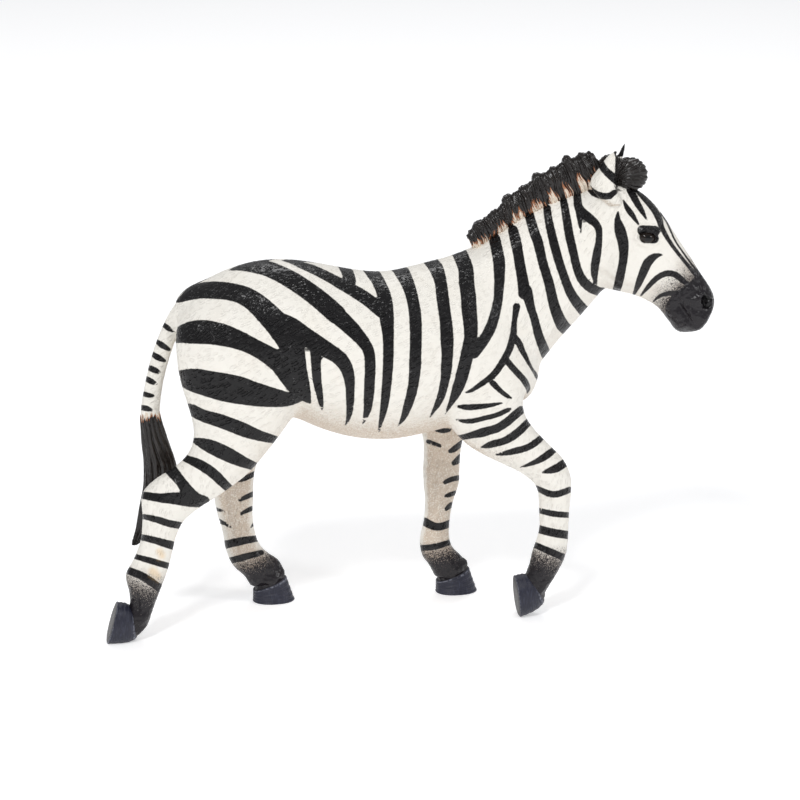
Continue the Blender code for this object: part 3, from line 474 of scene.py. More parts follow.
EAR_STRIPES: list[Rows] = [
    [
        (586.9, 183.7, 3.3), (589, 188.4, 5.7), (593.5, 192.7, 6.9), (601.6, 195.9, 6.5),
        (609.8, 195.9, 6.5), (614.7, 192.2, 5.3),
    ],
    [
        (598.6, 158, 8), (601.2, 164.3, 7.4), (603.7, 168.4, 7.6), (607.8, 173.1, 7.8),
        (612.2, 176.6, 8.6), (617, 180, 9.6),
    ],
    [
        (612.9, 149, 2.9), (615.9, 152.7, 3.7), (617.1, 160.8, 2.4), (617.1, 173.1, 2),
        (616.9, 187.3, 1.6),
    ],
    [(621.4, 139, 9.5), (620.6, 148.6, 9.5), (618.6, 155.7, 6.5)],
]
MUZZLE_PAINT: list[Rows] = [
    [(698.5, 273, 3.1), (702.2, 286.3, 20.4), (698.0, 301.6, 40.2), (687.3, 312.8, 43.4)],
]
STAINS: list[Rows] = [
    [(150, 464, 9), (146, 470, 7)],
    [(160, 552, 5), (162, 556, 4)],
    [(153, 572, 7), (157, 576, 6)],
]

# How dark the muzzle is, by the pixels that a point lies inside its paint
MUZZLE_FADE: Rows = ((-40.0, -20.0, -8.0, -1.0, 2.0), (0.0, 0.22, 0.37, 0.52, 1.0))

# Rows of a far leg, and the rows of its twin on the near side at the same joints
TWIN_ROWS: dict[str, Rows] = {
    "hind": ((0, 8.5, 12, 15), (0, 9, 13, 17)),
    "fore": ((0, 7.5, 11.5, 14), (0, 8, 13, 16)),
}

# Grooves on one side of the straight head: points, reach and depth
FACE_GROOVES: list[tuple[Rows, float, float]] = [
    # Rim and hollow of the nostril
    (
        (
            (69.9, 3.0, 70.9), (68.8, 3.9, 72.6), (67.0, 4.7, 72.1), (66.5, 4.9, 70.4),
            (67.2, 4.9, 68.6),
        ),
        0.65, -0.5,
    ),
    (((68.8, 4.1, 71.3), (68.4, 4.3, 70.3), (67.9, 4.5, 69.3)), 1.5, 2.0),
    # Mouth and the fold of the lip over it
    (((68.0, 0.4, 64.3), (65.4, 3.7, 64.8), (64.1, 4.4, 66.3), (62.0, 4.5, 69.0)), 0.70, 0.5),
    (((68.6, 3.0, 66.6), (66.0, 4.4, 67.4), (64.2, 4.6, 69.6)), 0.80, 0.20),
    # Behind the nostril, under the chin, along the jaw and before the cheek
    (((66.6, 3.2, 75.2), (65.2, 4.1, 73.6), (64.8, 4.3, 71.6)), 0.80, 0.25),
    (((60.4, 2.4, 64.2), (60.6, 0.0, 63.6)), 1.8, 0.12),
    (((44.6, 6.0, 76.4), (47.0, 6.4, 73.6), (51.0, 6.2, 72.6)), 0.9, 0.35),
    (((57.6, 5.6, 82.0), (60.4, 4.8, 78.6), (62.8, 4.4, 75.2)), 0.6, 0.25),
]


def ramp(value: np.ndarray | float, low: float, high: float) -> np.ndarray:
    """0 at low, 1 at high and straight between them."""
    return np.clip((value - low) / (high - low), 0.0, 1.0)


def ease(value: np.ndarray | float, low: float, high: float) -> np.ndarray:
    """0 at low, 1 at high and rounded at both ends."""
    t = ramp(value, low, high)
    return t * t * (3.0 - 2.0 * t)


def around(sides: int) -> list[tuple[float, float, float]]:
    """The angle, cosine and sine of each point round a ring."""
    angles = [2 * math.pi * k / sides for k in range(sides)]
    return [(a, math.cos(a), math.sin(a)) for a in angles]


def spline(rows: Rows, step: float) -> np.ndarray:
    """Fills in rows of numbers by a smooth curve.

    Args:
        rows: the rows it goes through.
        step: the most that any number may change from one row to the next.

    Returns:
        The rows of the curve.
    """
    rows = np.asarray(rows, float)
    ends = np.vstack([2 * rows[0] - rows[1], rows, 2 * rows[-1] - rows[-2]])
    out = []
    for a, b, c, d in zip(ends, ends[1:], ends[2:], ends[3:]):
        count = max(1, math.ceil(np.abs(c - b).max() / step))
        for t in np.arange(count) / count:
            bend = (2 * a - 5 * b + 4 * c - d) * t**2 + (3 * b - a - 3 * c + d) * t**3
            out.append(0.5 * (2 * b + (c - a) * t + bend))
    out.append(rows[-1])
    return np.array(out)


def turn_head(points: np.ndarray, way: float = 1.0) -> np.ndarray:
    """Turns the straight head's points on the poll toward the viewer.

    Args:
        points: rows of x, y and z.
        way: 1 to turn the head, -1 to straighten it again.

    Returns:
        The turned points.
    """
    angle = math.radians(-HEAD_TURN * way)
    c, s = math.cos(angle), math.sin(angle)
    moved = np.asarray(points, float) - POLL
    x = moved[:, 0] * c - moved[:, 1] * s
    y = moved[:, 0] * s + moved[:, 1] * c
    return np.stack([x, y, moved[:, 2]], 1) + POLL


def ripple(points: np.ndarray, size: float, seed: float = 0.0) -> np.ndarray:
    """Smooth noise at each point, -1 to 1, for bumps about size across."""
    shift = Vector((seed, 2.3 * seed, -1.7 * seed))
    return np.array([noise.noise(Vector(p) / size + shift) for p in points])


class Form:
    """A closed skin while it is being modelled, in millimetres."""

    def __init__(self, thing: bpy.types.Object) -> None:
        self.thing = thing

    @property
    def points(self) -> np.ndarray:
        """Where its points are.

        Returns:
            Rows of x, y and z.
        """
        points = np.empty(len(self.thing.data.vertices) * 3, np.float32)
        self.thing.data.vertices.foreach_get("co", points)
        return points.reshape(-1, 3).astype(float)

    @property
    def normals(self) -> np.ndarray:
        """Which way its skin faces at each point.

        Returns:
            Rows of x, y and z.
        """
        normals = np.empty(len(self.thing.data.vertices) * 3, np.float32)
        self.thing.data.vertices.foreach_get("normal", normals)
        return normals.reshape(-1, 3).astype(float)

    def move(self, points: np.ndarray) -> None:
        """Puts its points where they are given."""
        self.thing.data.vertices.foreach_set("co", points.astype(np.float32).ravel())
        self.thing.data.update()

    def press(self, depth: np.ndarray) -> None:
        """Sinks each point along its normal by its own depth."""
        self.move(self.points - self.normals * depth[:, None])

    def apply(self) -> None:
        """Makes its modifiers part of its mesh."""
        graph = bpy.context.evaluated_depsgraph_get()
        graph.update()
        mesh = bpy.data.meshes.new_from_object(self.thing.evaluated_get(graph))
        old = self.thing.data
        self.thing.modifiers.clear()
        self.thing.data = mesh
        bpy.data.meshes.remove(old)

    def relax(self, passes: int, weights: np.ndarray | None = None) -> None:
        """Smooths the skin.

        Args:
            passes: how many times each point moves toward its neighbours.
            weights: how much each point takes part, 0 to 1, or all of them.
        """
        smooth = self.thing.modifiers.new("Smooth", "SMOOTH")
        smooth.iterations = passes
        smooth.factor = 0.5
        if weights is not None:
            group = self.thing.vertex_groups.new(name="relax")
            levels = np.round(weights, 1)
            for level in np.unique(levels[levels > 0]):
                chosen = np.flatnonzero(levels == level)
                group.add(chosen.tolist(), float(level), "REPLACE")
            smooth.vertex_group = group.name
        self.apply()
        self.thing.vertex_groups.clear()

    def carve(self, path: Sequence[Spot], radius: float, depth: float) -> None:
        """Presses a groove into the skin; a negative depth raises a ridge.

        Args:
            path: the points that the groove follows, moved onto the skin.
            radius: how far its side slopes reach.
            depth: how deep it is in the middle.
        """
        points = self.points
        path = np.array([points[np.argmin(((points - p) ** 2).sum(1))] for p in path])
        low, high = path.min(0) - 3 * radius, path.max(0) + 3 * radius
        near = np.flatnonzero(((points > low) & (points < high)).all(1))
        spots = points[near]
        away = np.full(len(near), 1e9)
        for a, b in zip(path, path[1:] if len(path) > 1 else path):
            line = b - a
            t = np.clip((spots - a) @ line / max(line @ line, 1e-9), 0.0, 1.0)
            away = np.minimum(away, np.linalg.norm(spots - a - t[:, None] * line, axis=1))
        sink = np.exp(-((away / radius) ** 2)) * depth
        points[near] -= self.normals[near] * sink[:, None]
        self.move(points)

    def thin(self, triangles: int, plain: np.ndarray, keep: float) -> None:
        """Takes triangles away, fewer of them where plain is low.

        Args:
            triangles: how many are left.
            plain: 1 where the mesh may thin as it likes, 0.5 where it keeps more.
            keep: how strongly it keeps more there.
        """
        # A little grit keeps the flat parts from thinning into slivers
        grit = np.random.default_rng(7).uniform(-0.04, 0.04, len(plain))
        self.press(grit)
        group = self.thing.vertex_groups.new(name="plain")
        for level in np.unique(plain):
            chosen = np.flatnonzero(plain == level)
            group.add(chosen.tolist(), float(level), "REPLACE")
        thin = self.thing.modifiers.new("Decimate", "DECIMATE")
        thin.ratio = triangles / (2.0 * len(self.thing.data.polygons))
        thin.vertex_group = group.name
        thin.vertex_group_factor = keep
        thin.use_collapse_triangulate = True
        self.apply()
        self.thing.vertex_groups.clear()

    def keep(self, name: str, values: np.ndarray) -> None:
        """Stores one number a point, for the material to read."""
        layer = self.thing.data.attributes.new(name, "FLOAT", "POINT")
        layer.data.foreach_set("value", np.asarray(values, np.float32))

    def set_down(self, paint: bpy.types.Material) -> bpy.types.Object:
        """Puts the piece in the CAD frame, in metres, with its paint on.

        Args:
            paint: the material of the piece.

        Returns:
            The piece, riding on the figure.
        """
        points = (self.points + SHIFT) * MM
        points[:, 2] = np.maximum(points[:, 2], 0.0)
        self.move(points)
        self.thing.data.shade_smooth()
        self.thing.data.materials.clear()
        self.thing.data.materials.append(paint)
        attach(self.thing, "root")
        LOG.info("%s: %d points", self.thing.name, len(points))
        return self.thing


class Clay:
    """Overlapping closed shells, pressed together before they are fused."""

    def __init__(self) -> None:
        self.bm = bmesh.new()

    def skin(self, rings: Sequence[Sequence[Spot]]) -> None:
        """Faces over closed rings of points, with a fan on each end.

        Args:
            rings: the rings, in order.
        """
        loops = [[self.bm.verts.new(p) for p in ring] for ring in rings]
        count = len(loops[0])
        for low, high in zip(loops, loops[1:]):
            for k in range(count):
                n = (k + 1) % count
                self.bm.faces.new((low[k], low[n], high[n], high[k]))
        self.bm.faces.new(loops[0][::-1])
        self.bm.faces.new(loops[-1])

    def loft(
        self,
        table: Rows,
        square: float = 2.0,
        egg: float = 0.0,
        sides: int = 32,
        step: float = 0.9,
    ) -> None:
        """A shell through a table's sections.

        Args:
            table: end-A x and z, end-B x and z, centre y and half width, a row each.
            square: 2 for an ellipse, more for a boxier section.
            egg: how much wider the second end of each section is.
            sides: the points round a section.
            step: how far apart the filled-in sections are.
        """
        rings = []
        for ax, az, bx, bz, y, half in spline(table, step):
            middle = np.array([(ax + bx) / 2, y, (az + bz) / 2])
            reach = np.array([(ax - bx) / 2, 0.0, (az - bz) / 2])
            ring = []
            for _, c, s in around(sides):
                u = math.copysign(abs(c) ** (2 / square), c)
                v = math.copysign(abs(s) ** (2 / square), s) * (1 - egg * u)
                ring.append(middle + reach * u + np.array([0.0, v * half, 0.0]))
            rings.append(ring)
        self.skin(rings)

    def ball(
        self, middle: Spot, radii: Spot, tilt: float = 0.0, roll: float = 0.0, sides: int = 18
    ) -> None:
        """An ellipsoid; tilt lifts its front end, roll leans its top toward -Y.

        Args:
            middle: its middle.
            radii: its half sizes.
            tilt: in degrees.
            roll: in degrees.
            sides: the points round it.
        """
        place = (
            Matrix.Translation(Vector(middle))
            @ Matrix.Rotation(math.radians(roll), 4, "X")
            @ Matrix.Rotation(math.radians(-tilt), 4, "Y")
            @ Matrix.Diagonal((*radii, 1.0))
        )
        rings = []
        for k in range(sides // 2 + 1):
            rise = math.pi * (k + 0.25) / (sides // 2 + 0.5)
            flat, up = math.sin(rise), -math.cos(rise)
            rings.append([place @ Vector((flat * c, flat * s, up)) for _, c, s in around(sides)])
        self.skin(rings)

    def mass(
        self,
        sides: Sequence[int],
        x: float,
        reach: float,
        z: float,
        radii: Spot,
        tilt: float = 0.0,
        lean: float = 0.0,
    ) -> None:
        """A muscle on one side (-1 or 1) or both; reach is how far out it comes."""
        for side in sides:
            self.ball((x, side * (reach - radii[1]), z), radii, tilt, lean * side)

    def limb(self, start: Spot, end: Spot, r0: float, r1: float) -> None:
        """A row of balls from start to end, r0 at the start and r1 at the end.

        Args:
            start: the middle of the first.
            end: the middle of the last.
            r0: the first one's radius.
            r1: the last one's radius.
        """
        start, end = np.array(start, float), np.array(end, float)
        count = max(3, math.ceil(np.linalg.norm(end - start) / (0.6 * min(r0, r1))))
        for t in np.arange(count + 1) / count:
            r = r0 + (r1 - r0) * t
            self.ball(start + (end - start) * t, (r, r, r), sides=14)

    def take(self, other: Clay, turned: bool = False) -> None:
        """Adds another lot of shells.

        Args:
            other: the shells, used up by this.
            turned: whether they are the straight head's, still to be turned.
        """
        if turned:
            for vert in other.bm.verts:
                vert.co = turn_head(np.array([vert.co]))[0]
        copy = bpy.data.meshes.new("taken")
        other.bm.to_mesh(copy)
        other.bm.free()
        self.bm.from_mesh(copy)
        bpy.data.meshes.remove(copy)

    def form(self, name: str) -> Form:
        """Makes the shells one object as they are, and uses them up.

        Args:
            name: the piece's name.

        Returns:
            The shells' skin.
        """
        mesh = bpy.data.meshes.new(name)
        bmesh.ops.recalc_face_normals(self.bm, faces=self.bm.faces)
        self.bm.to_mesh(mesh)
        self.bm.free()
        thing = bpy.data.objects.new(name, mesh)
        bpy.context.scene.collection.objects.link(thing)
        return Form(thing)

    def fuse(self, name: str, grain: float) -> Form:
        """Makes the shells one closed skin.

        Args:
            name: the piece's name.
            grain: the size of its voxels.

        Returns:
            The skin.
        """
        form = self.form(name)
        remesh = form.thing.modifiers.new("Remesh", "REMESH")
        remesh.mode = "VOXEL"
        remesh.voxel_size = grain
        form.apply()
        return form


@dataclass(frozen=True)
class PhotoView:
    """Where the photograph was taken from, in millimetres and degrees."""

    azimuth: float = -10.0
    elevation: float = 16.0
    distance: float = 600.0
    lens: float = 122.7
    sensor: float = 36.0
    aim: Spot = (0.0, 0.0, 48.5)

    def axes(self) -> tuple[np.ndarray, np.ndarray, np.ndarray]:
        """The view's right, up and back directions.

        Returns:
            The three, each of length 1.
        """
        a, e = math.radians(self.azimuth), math.radians(self.elevation)
        back = np.array(
            [math.sin(a) * math.cos(e), -math.cos(a) * math.cos(e), math.sin(e)]
        )
        right = np.array([math.cos(a), math.sin(a), 0.0])
        return right, np.cross(back, right), back

    def pixels(self, points: np.ndarray) -> np.ndarray:
        """Where points show in the photograph.

        Args:
            points: rows of x, y and z.

        Returns:
            Rows of x and y, in pixels of the photograph.
        """
        right, up, back = self.axes()
        seen = points - np.array(self.aim)
        depth = self.distance - seen @ back
        scale = self.lens / self.sensor * PHOTO_SIDE / depth
        middle = PHOTO_SIDE / 2
        return np.stack([middle + scale * (seen @ right), middle - scale * (seen @ up)], 1)

    def camera(self) -> bpy.types.Object:
        """Sets up the camera there.

        Returns:
            The scene's camera.
        """
        data = bpy.data.cameras.new("photo_view")
        data.lens = self.lens
        data.sensor_width = self.sensor
        data.clip_start = 0.01
        data.clip_end = 20.0
        eye = np.array(self.aim) + self.axes()[2] * self.distance + SHIFT
        camera = bpy.data.objects.new("photo_view", data)
        camera.location = Vector(eye * MM)
        camera.rotation_euler = Vector(self.axes()[2]).to_track_quat("Z", "Y").to_euler()
        bpy.context.scene.collection.objects.link(camera)
        bpy.context.scene.camera = camera
        return camera


@dataclass(frozen=True)
class Brush:
    """One lot of strokes on the photograph, and how far they are from a pixel."""

    strokes: list[Rows]
    far: float = 9.0

    def distance(self, pixels: np.ndarray) -> np.ndarray:
        """How far each pixel is outside the paint.

        Args:
            pixels: rows of x and y.

        Returns:
            The distance in pixels, below 0 inside a stroke and far at most.
        """
        out = np.full(len(pixels), self.far)
        for rows in self.strokes:
            line = spline(rows, 5.0)
            reach = line[:, 2].max() / 2 + self.far
            low, high = line[:, :2].min(0) - reach, line[:, :2].max(0) + reach
            near = np.flatnonzero(((pixels > low) & (pixels < high)).all(1))
            spots = pixels[near]
            best = out[near]
            for a, b in zip(line, line[1:]):
                along = b[:2] - a[:2]
                t = np.clip((spots - a[:2]) @ along / max(along @ along, 1e-9), 0.0, 1.0)
                gap = np.linalg.norm(spots - a[:2] - t[:, None] * along, axis=1)
                best = np.minimum(best, gap - (a[2] + (b[2] - a[2]) * t) / 2)
            out[near] = best
        return out


@dataclass(frozen=True)
class Leg:
    """One leg: its sections, its strokes, the rows its dusk begins and is full at.

    The last three place its hoof: how far the toe lies ahead of the last
    section's middle, and how far the heel has risen and turned, in degrees.
    """

    name: str
    sections: Rows
    strokes: list[Rows]
    dusk: tuple[float, float]
    ahead: float
    rise: float = 0.0
    turn: float = 0.0

    @property
    def side(self) -> int:
        """-1 on the near side, 1 on the far side."""
        return -1 if self.sections[-1][4] < 0 else 1

    def locate(self, points: np.ndarray) -> tuple[np.ndarray, np.ndarray]:
        """Finds points among the leg's sections.

        Args:
            points: rows of x, y and z.

        Returns:
            The row each lies at, counted from the top, and how far it is to
            the front (1) or the back (-1) of that section.
        """
        count = 8 * (len(self.sections) - 1) + 1
        at = np.linspace(0.0, len(self.sections) - 1, count)
        rows = np.arange(len(self.sections))
        table = np.array([np.interp(at, rows, c) for c in np.array(self.sections).T]).T
        best = np.full(len(points), 1e9)
        row, across = np.zeros(len(points)), np.zeros(len(points))
        for k, (fx, fz, bx, bz, _, _) in enumerate(table):
            middle = np.array([(fx + bx) / 2, (fz + bz) / 2])
            reach = np.array([(fx - bx) / 2, (fz - bz) / 2])
            away = points[:, [0, 2]] - middle
            u = np.clip(away @ reach / (reach @ reach), -1.0, 1.0)
            gap = np.linalg.norm(away - u[:, None] * reach, axis=1)
            closer = gap < best
            best[closer], row[closer], across[closer] = gap[closer], at[k], u[closer]
        return row, across

    def outside(self, row: np.ndarray, across: np.ndarray) -> np.ndarray:
        """Points on the leg's outer side.

        Args:
            row: which section each lies at.
            across: how far to the front (1) or the back (-1) of it.

        Returns:
            Rows of x, y and z.
        """
        rows = np.arange(len(self.sections))
        fx, fz, bx, bz, y, half = [np.interp(row, rows, c) for c in np.array(self.sections).T]
        out = y + self.side * half * np.sqrt(np.maximum(1.0 - across**2, 0.0))
        x = (fx + bx) / 2 + across * (fx - bx) / 2
        return np.stack([x, out, (fz + bz) / 2 + across * (fz - bz) / 2], 1)


@dataclass
class Ears:
    """Two upright leaf-shaped ears, hollow toward the front."""

    lengths: dict[int, float] = field(default_factory=lambda: {-1: 10.2, 1: 11.2})
    width: float = 6.6
    foot: Spot = (48.9, 4.2, 93.0)
    ahead: dict[int, float] = field(default_factory=lambda: {-1: -1.0, 1: 0.9})
    sides: int = 36
    outline: Rows = (
        (-0.12, 0.5), (0.1, 0.86), (0.28, 1.0), (0.44, 0.92), (0.66, 0.62), (0.86, 0.38),
        (0.95, 0.2), (1.0, 0.08),
    )

    def rings(self, side: int) -> list[list[Vector]]:
        """The straight head's ear on one side, foot to tip.

        Args:
            side: -1 near, 1 far.

        Returns:
            Its rings of points.
        """
        heights, widths = np.array(self.outline).T
        rings = []
        for t in np.linspace(heights[0], 1.0, 29):
            wide = self.width / 2 * np.interp(t, heights, widths)
            # The far ear is curled thinner toward its tip
            wide *= 1.0 - 0.6 * (side > 0) * float(ramp(t, 0.45, 0.75))
            x = self.foot[0] - wide + self.ahead[side] * t
            y = side * (self.foot[1] - 1.5 * max(t, 0.0))
            ring = []
            for a, c, s in around(self.sides):
                hollow = 0.86 * math.exp(-((a - math.pi) ** 2) / 0.3) * float(ramp(t, 0.05, 0.3))
                out = Vector((-c * wide, s * min(wide, 2.5) * 0.9, 0.0)) * (1.0 - hollow)
                ring.append(Vector((x, y, self.foot[2] + self.lengths[side] * t)) + out)
            rings.append(ring)
        return rings

    def shape(self, clay: Clay) -> KDTree:
        """Adds both ears to the clay.

        Args:
            clay: what they are added to.

        Returns:
            A tree of the ears' points, to find them again on the skin.
        """
        spots: list[np.ndarray] = []
        for side in (-1, 1):
            rings = self.rings(side)
            ear = Clay()
            ear.skin(rings)
            clay.take(ear, turned=True)
            spots.append(turn_head(np.array([p for ring in rings[3:] for p in ring])))
        every = np.vstack(spots)
        tree = KDTree(len(every))
        for k, spot in enumerate(every):
            tree.insert(spot, k)
        tree.balance()
        return tree


@dataclass
class Eyes:
    """Glossy eyeballs, each between an upper and a lower lid."""

    at: tuple[float, float] = (54.7, 84.6)
    length: float = 4.8
    height: float = 2.8
    slant: float = -12.0
    hearts: dict[int, tuple[np.ndarray, np.ndarray]] = field(default_factory=dict)

    def on_skin(self, tree: BVHTree, x: float, z: float, side: int) -> np.ndarray:
        """Where the skin lies at x, z of the straight head, seen from one side.

        Args:
            tree: the skin.
            x: how far ahead.
            z: how high.
            side: -1 near, 1 far.

        Returns:
            The point.
        """
        start, heart = turn_head(np.array([(x, side * 30.0, z), (x, 0.0, z)]))
        hit = tree.ray_cast(Vector(start), Vector(heart - start))[0]
        if hit is None:
            hit = tree.find_nearest(Vector(heart))[0]
        return np.array(hit)

    def arc(
        self, tree: BVHTree, side: int, wide: float, rise: float, turn: Spot
    ) -> list[np.ndarray]:
        """Points on the skin along part of the eye's outline.

        Args:
            tree: the skin.
            side: -1 near, 1 far.
            wide: its half length, in shares of the eye's length.
            rise: how high it bulges, in shares of the eye's height.
            turn: the first and the last angle, in half turns.

        Returns:
            The points.
        """
        path = []
        for t in np.linspace(turn[0], turn[1], 13) * math.pi:
            x = self.at[0] + self.length * wide * math.cos(t)
            z = self.at[1] + self.height * (rise * math.sin(t) - 0.12 * math.cos(t))
            path.append(self.on_skin(tree, x, z, side))
        return path

    def shape(self, clay: Clay, tree: BVHTree) -> None:
        """Adds the sockets' balls and the lids to the clay.

        Args:
            clay: what they are added to.
            tree: the skin without them.
        """
        for side in (-1, 1):
            outward = turn_head(np.array([(POLL[0], side, 0.0)]))[0] - POLL
            heart = self.on_skin(tree, *self.at, side)
            self.hearts[side] = (heart, outward)
            ball = (self.length * 0.36, 1.2, self.height * 0.42)
            clay.ball(heart - outward * 0.7, ball, tilt=self.slant)
            for lid, thick in ((0.6, 0.52), (-0.5, 0.44)):
                arc = self.arc(tree, side, 0.5, lid, (0.0, 1.0))
                for a, b in zip(arc, arc[1:]):
                    clay.limb(a, b, thick, thick)

    def carve(self, skin: Form, tree: BVHTree) -> None:
        """Cuts the slit round the eyeball and the folds over and under it.

        Args:
            skin: what is cut.
            tree: the skin without its lids.
        """
        for side in (-1, 1):
            skin.carve(self.arc(tree, side, 0.40, 0.44, (0.0, 2.0)), 0.34, 0.34)
            skin.carve(self.arc(tree, side, 0.62, 1.06, (0.1, 0.9)), 0.30, 0.22)
            skin.carve(self.arc(tree, side, 0.60, -0.98, (0.15, 0.85)), 0.30, 0.16)
            x, z = self.at
            corner = [self.on_skin(tree, x + 2.2, z - 0.3, side)]
            corner.append(self.on_skin(tree, x + 3.3, z - 1.0, side))
            skin.carve(corner, 0.26, 0.22)

    def build(self, paint: bpy.types.Material) -> list[bpy.types.Object]:
        """Makes the two eyeballs.

        Args:
            paint: their glossy finish.

        Returns:
            The pieces.
        """
        made = []
        for side, name in ((-1, "eye_near"), (1, "eye_far")):
            heart, outward = self.hearts[side]
            clay = Clay()
            ball = (self.length * 0.385, 1.3, self.height * 0.44)
            clay.ball(heart - outward * 0.62, ball, tilt=self.slant, sides=48)
            form = clay.form(name)
            centre = form.points.mean(0)
            form.keep("pupil", np.linalg.norm((form.points - centre)[:, [0, 2]], axis=1))
            made.append(form.set_down(paint))
        return made


@dataclass
class Skin:
    """The whole figure under its mane: trunk, neck, head, legs and dock."""

    ears: Ears
    eyes: Eyes
    legs: list[Leg]
    view: PhotoView
    rough_grain: float = 0.55
    fine_grain: float = 0.34
    body_passes: int = 60
    triangles: int = 188000
    head_detail: float = 0.8
    sinew_back: float = 0.72
    sinew_out: float = 0.86
    # Middle of the near forearm's thin strokes, and how far they reach ahead and up
    forearm: Spot = (20.0, 48.0)
    forearm_reach: Spot = (8.0, 6.0)
    # Heights where the ears' own paint, their hollows and the far one's black tip begin
    ear_low: float = 93.4
    hollow_low: float = 94.4
    tip_low: float = 101.0
    nostril: Spot = (68.3, 4.1, 70.2)
    nostril_radii: Spot = (1.3, 2.4, 1.9)

    def muscles(self, clay: Clay) -> None:
        """Adds the masses that stand out on the body, as on a lean zebra.

        Args:
            clay: what they are added to.
        """
        near, far, pair = (-1,), (1,), (-1, 1)
        # Hip bones and dock root
        clay.mass(pair, -24.5, 13.2, 71.5, (5.4, 4.2, 5.0), tilt=-20, lean=20)
        clay.ball((-44.0, 0.0, 73.8), (6.0, 4.0, 3.0), tilt=25)
        # Thighs and buttocks
        clay.mass(near, -36.5, 15.4, 61.0, (12.0, 6.2, 13.4))
        clay.mass(near, -43.0, 13.6, 60.0, (6.4, 5.8, 12.6), tilt=8)
        clay.mass(near, -28.6, 14.9, 55.4, (5.4, 4.6, 8.0), tilt=-14)
        clay.mass(far, -35.0, 15.4, 61.0, (12.0, 6.2, 13.4))
        clay.mass(far, -42.0, 13.6, 60.0, (6.4, 5.8, 12.6), tilt=4)
        clay.mass(far, -26.0, 14.9, 55.4, (5.4, 4.6, 8.0), tilt=-14)
        # Gaskins
        clay.mass(near, -38.6, 13.9, 44.0, (5.0, 3.6, 8.8), tilt=-42)
        clay.mass(far, -34.0, 14.2, 42.6, (5.0, 3.6, 8.6), tilt=-30)
        # Shoulder blades, upper arms and points of the shoulder
        clay.mass(pair, 15.6, 12.0, 65.4, (6.6, 4.4, 13.0), tilt=34, lean=18)
        clay.mass(pair, 11.6, 14.2, 56.0, (7.2, 5.4, 7.4), tilt=-20)
        clay.mass(pair, 23.8, 11.2, 57.0, (4.8, 4.8, 7.0), tilt=14)
        # Breast
        clay.mass(pair, 26.6, 7.4, 54.4, (4.0, 4.4, 7.0), tilt=-6)
        clay.ball((18.0, 0.0, 46.0), (9.0, 6.0, 3.4), tilt=12)
        # Forearms
        clay.mass(near, 19.6, 14.2, 43.4, (7.8, 4.2, 4.8), tilt=-34)
        clay.mass(far, 12.2, 13.8, 44.0, (4.8, 4.0, 7.6), tilt=4)
        # Neck muscle from the jaw to the shoulder, and along the crest
        for side in pair:
            clay.limb((41.5, side * 2.9, 77.6), (28.0, side * 5.0, 62.0), 2.4, 3.4)
            clay.limb((38.0, side * 1.4, 89.0), (16.0, side * 2.4, 76.0), 3.0, 4.8)

    def skull(self, clay: Clay) -> None:
        """Adds the head, cheeks, cheek bones and muzzle, turned together.

        Args:
            clay: what they are added to.
        """
        head = Clay()
        pair = (-1, 1)
        head.loft(HEAD, square=2.3, egg=-0.04)
        head.mass(pair, 50.6, 6.3, 78.6, (6.0, 3.4, 6.4))
        for side in pair:
            head.limb((52.6, side * 4.1, 88.6), (57.0, side * 3.3, 88.0), 1.4, 1.0)
            head.limb((56.6, side * 4.3, 82.4), (62.0, side * 3.2, 75.6), 1.3, 0.9)
            head.limb((46.0, side * 2.8, 91.0), (45.8, side * 4.0, 95.0), 2.4, 2.0)
        head.mass(pair, 67.5, 4.8, 70.3, (1.9, 1.8, 2.4), tilt=30)
        head.mass(pair, 65.0, 4.2, 65.4, (3.0, 1.8, 1.8), tilt=-30)
        head.ball((62.6, 0.0, 64.4), (2.6, 2.9, 2.0), tilt=-25)
        clay.take(head, turned=True)

    def head_share(self, points: np.ndarray) -> np.ndarray:
        """1 on the head, 0 on the neck and body."""
        ahead = ramp(points[:, 0] + 0.6 * (95.0 - points[:, 2]), 50.0, 60.0)
        return ahead * ramp(points[:, 2], 50.0, 60.0)

    def model(self) -> Form:
        """Models the skin.

        Returns:
            The skin, still in millimetres and unpainted.
        """
        clay = Clay()
        clay.loft(TRUNK, square=2.15, egg=0.10, sides=40)
        clay.loft(NECK, egg=0.10)
        for leg in self.legs:
            clay.loft(leg.sections, square=2.1, sides=28)
        self.muscles(clay)
        self.skull(clay)
        rough = clay.fuse("rough", self.rough_grain)
        points = rough.points
        body = ramp(points[:, 2], 40.0, 50.0) * (1.0 - self.head_share(points))
        rough.relax(self.body_passes, body)
        rough.relax(3)

        clay = Clay()
        clay.bm.from_mesh(rough.thing.data)
        tree = BVHTree.FromBMesh(clay.bm)
        bpy.data.objects.remove(rough.thing, do_unlink=True)
        self.eyes.shape(clay, tree)
        ear_tree = self.ears.shape(clay)
        clay.loft(DOCK, sides=28)
        for leg in self.legs:
            self.crown(clay, leg)
            clay.skin(Hoof(leg).coronet())
        skin = clay.fuse("zebra_skin", self.fine_grain)
        skin.relax(2)
        self.carve(skin, tree)
        # The head and the near forearm's thin strokes keep a finer mesh
        x, y, z = skin.points.T
        fine = (x > NECK[-1][0] - 2.0) & (z > HEAD[-1][1] - 6.0)
        away = np.abs(np.stack([x, z], 1) - self.forearm)
        fine |= (away < self.forearm_reach).all(1) & (y < -8.0)
        skin.thin(self.triangles, np.where(fine, 0.5, 1.0), self.head_detail)
        self.paint(skin, ear_tree)
        return skin

    def crown(self, clay: Clay, leg: Leg) -> None:
        """Adds the swelling over a flat hoof's coronet.

        Args:
            clay: what it is added to.
            leg: the hoof's leg.
        """
        if leg.rise:
            return
        fx, _, bx, _, y, _ = leg.sections[-1]
        clay.ball(((fx + bx) / 2 + leg.ahead - 5.4, y, 5.7), (3.5, 3.0, 2.0), tilt=20)

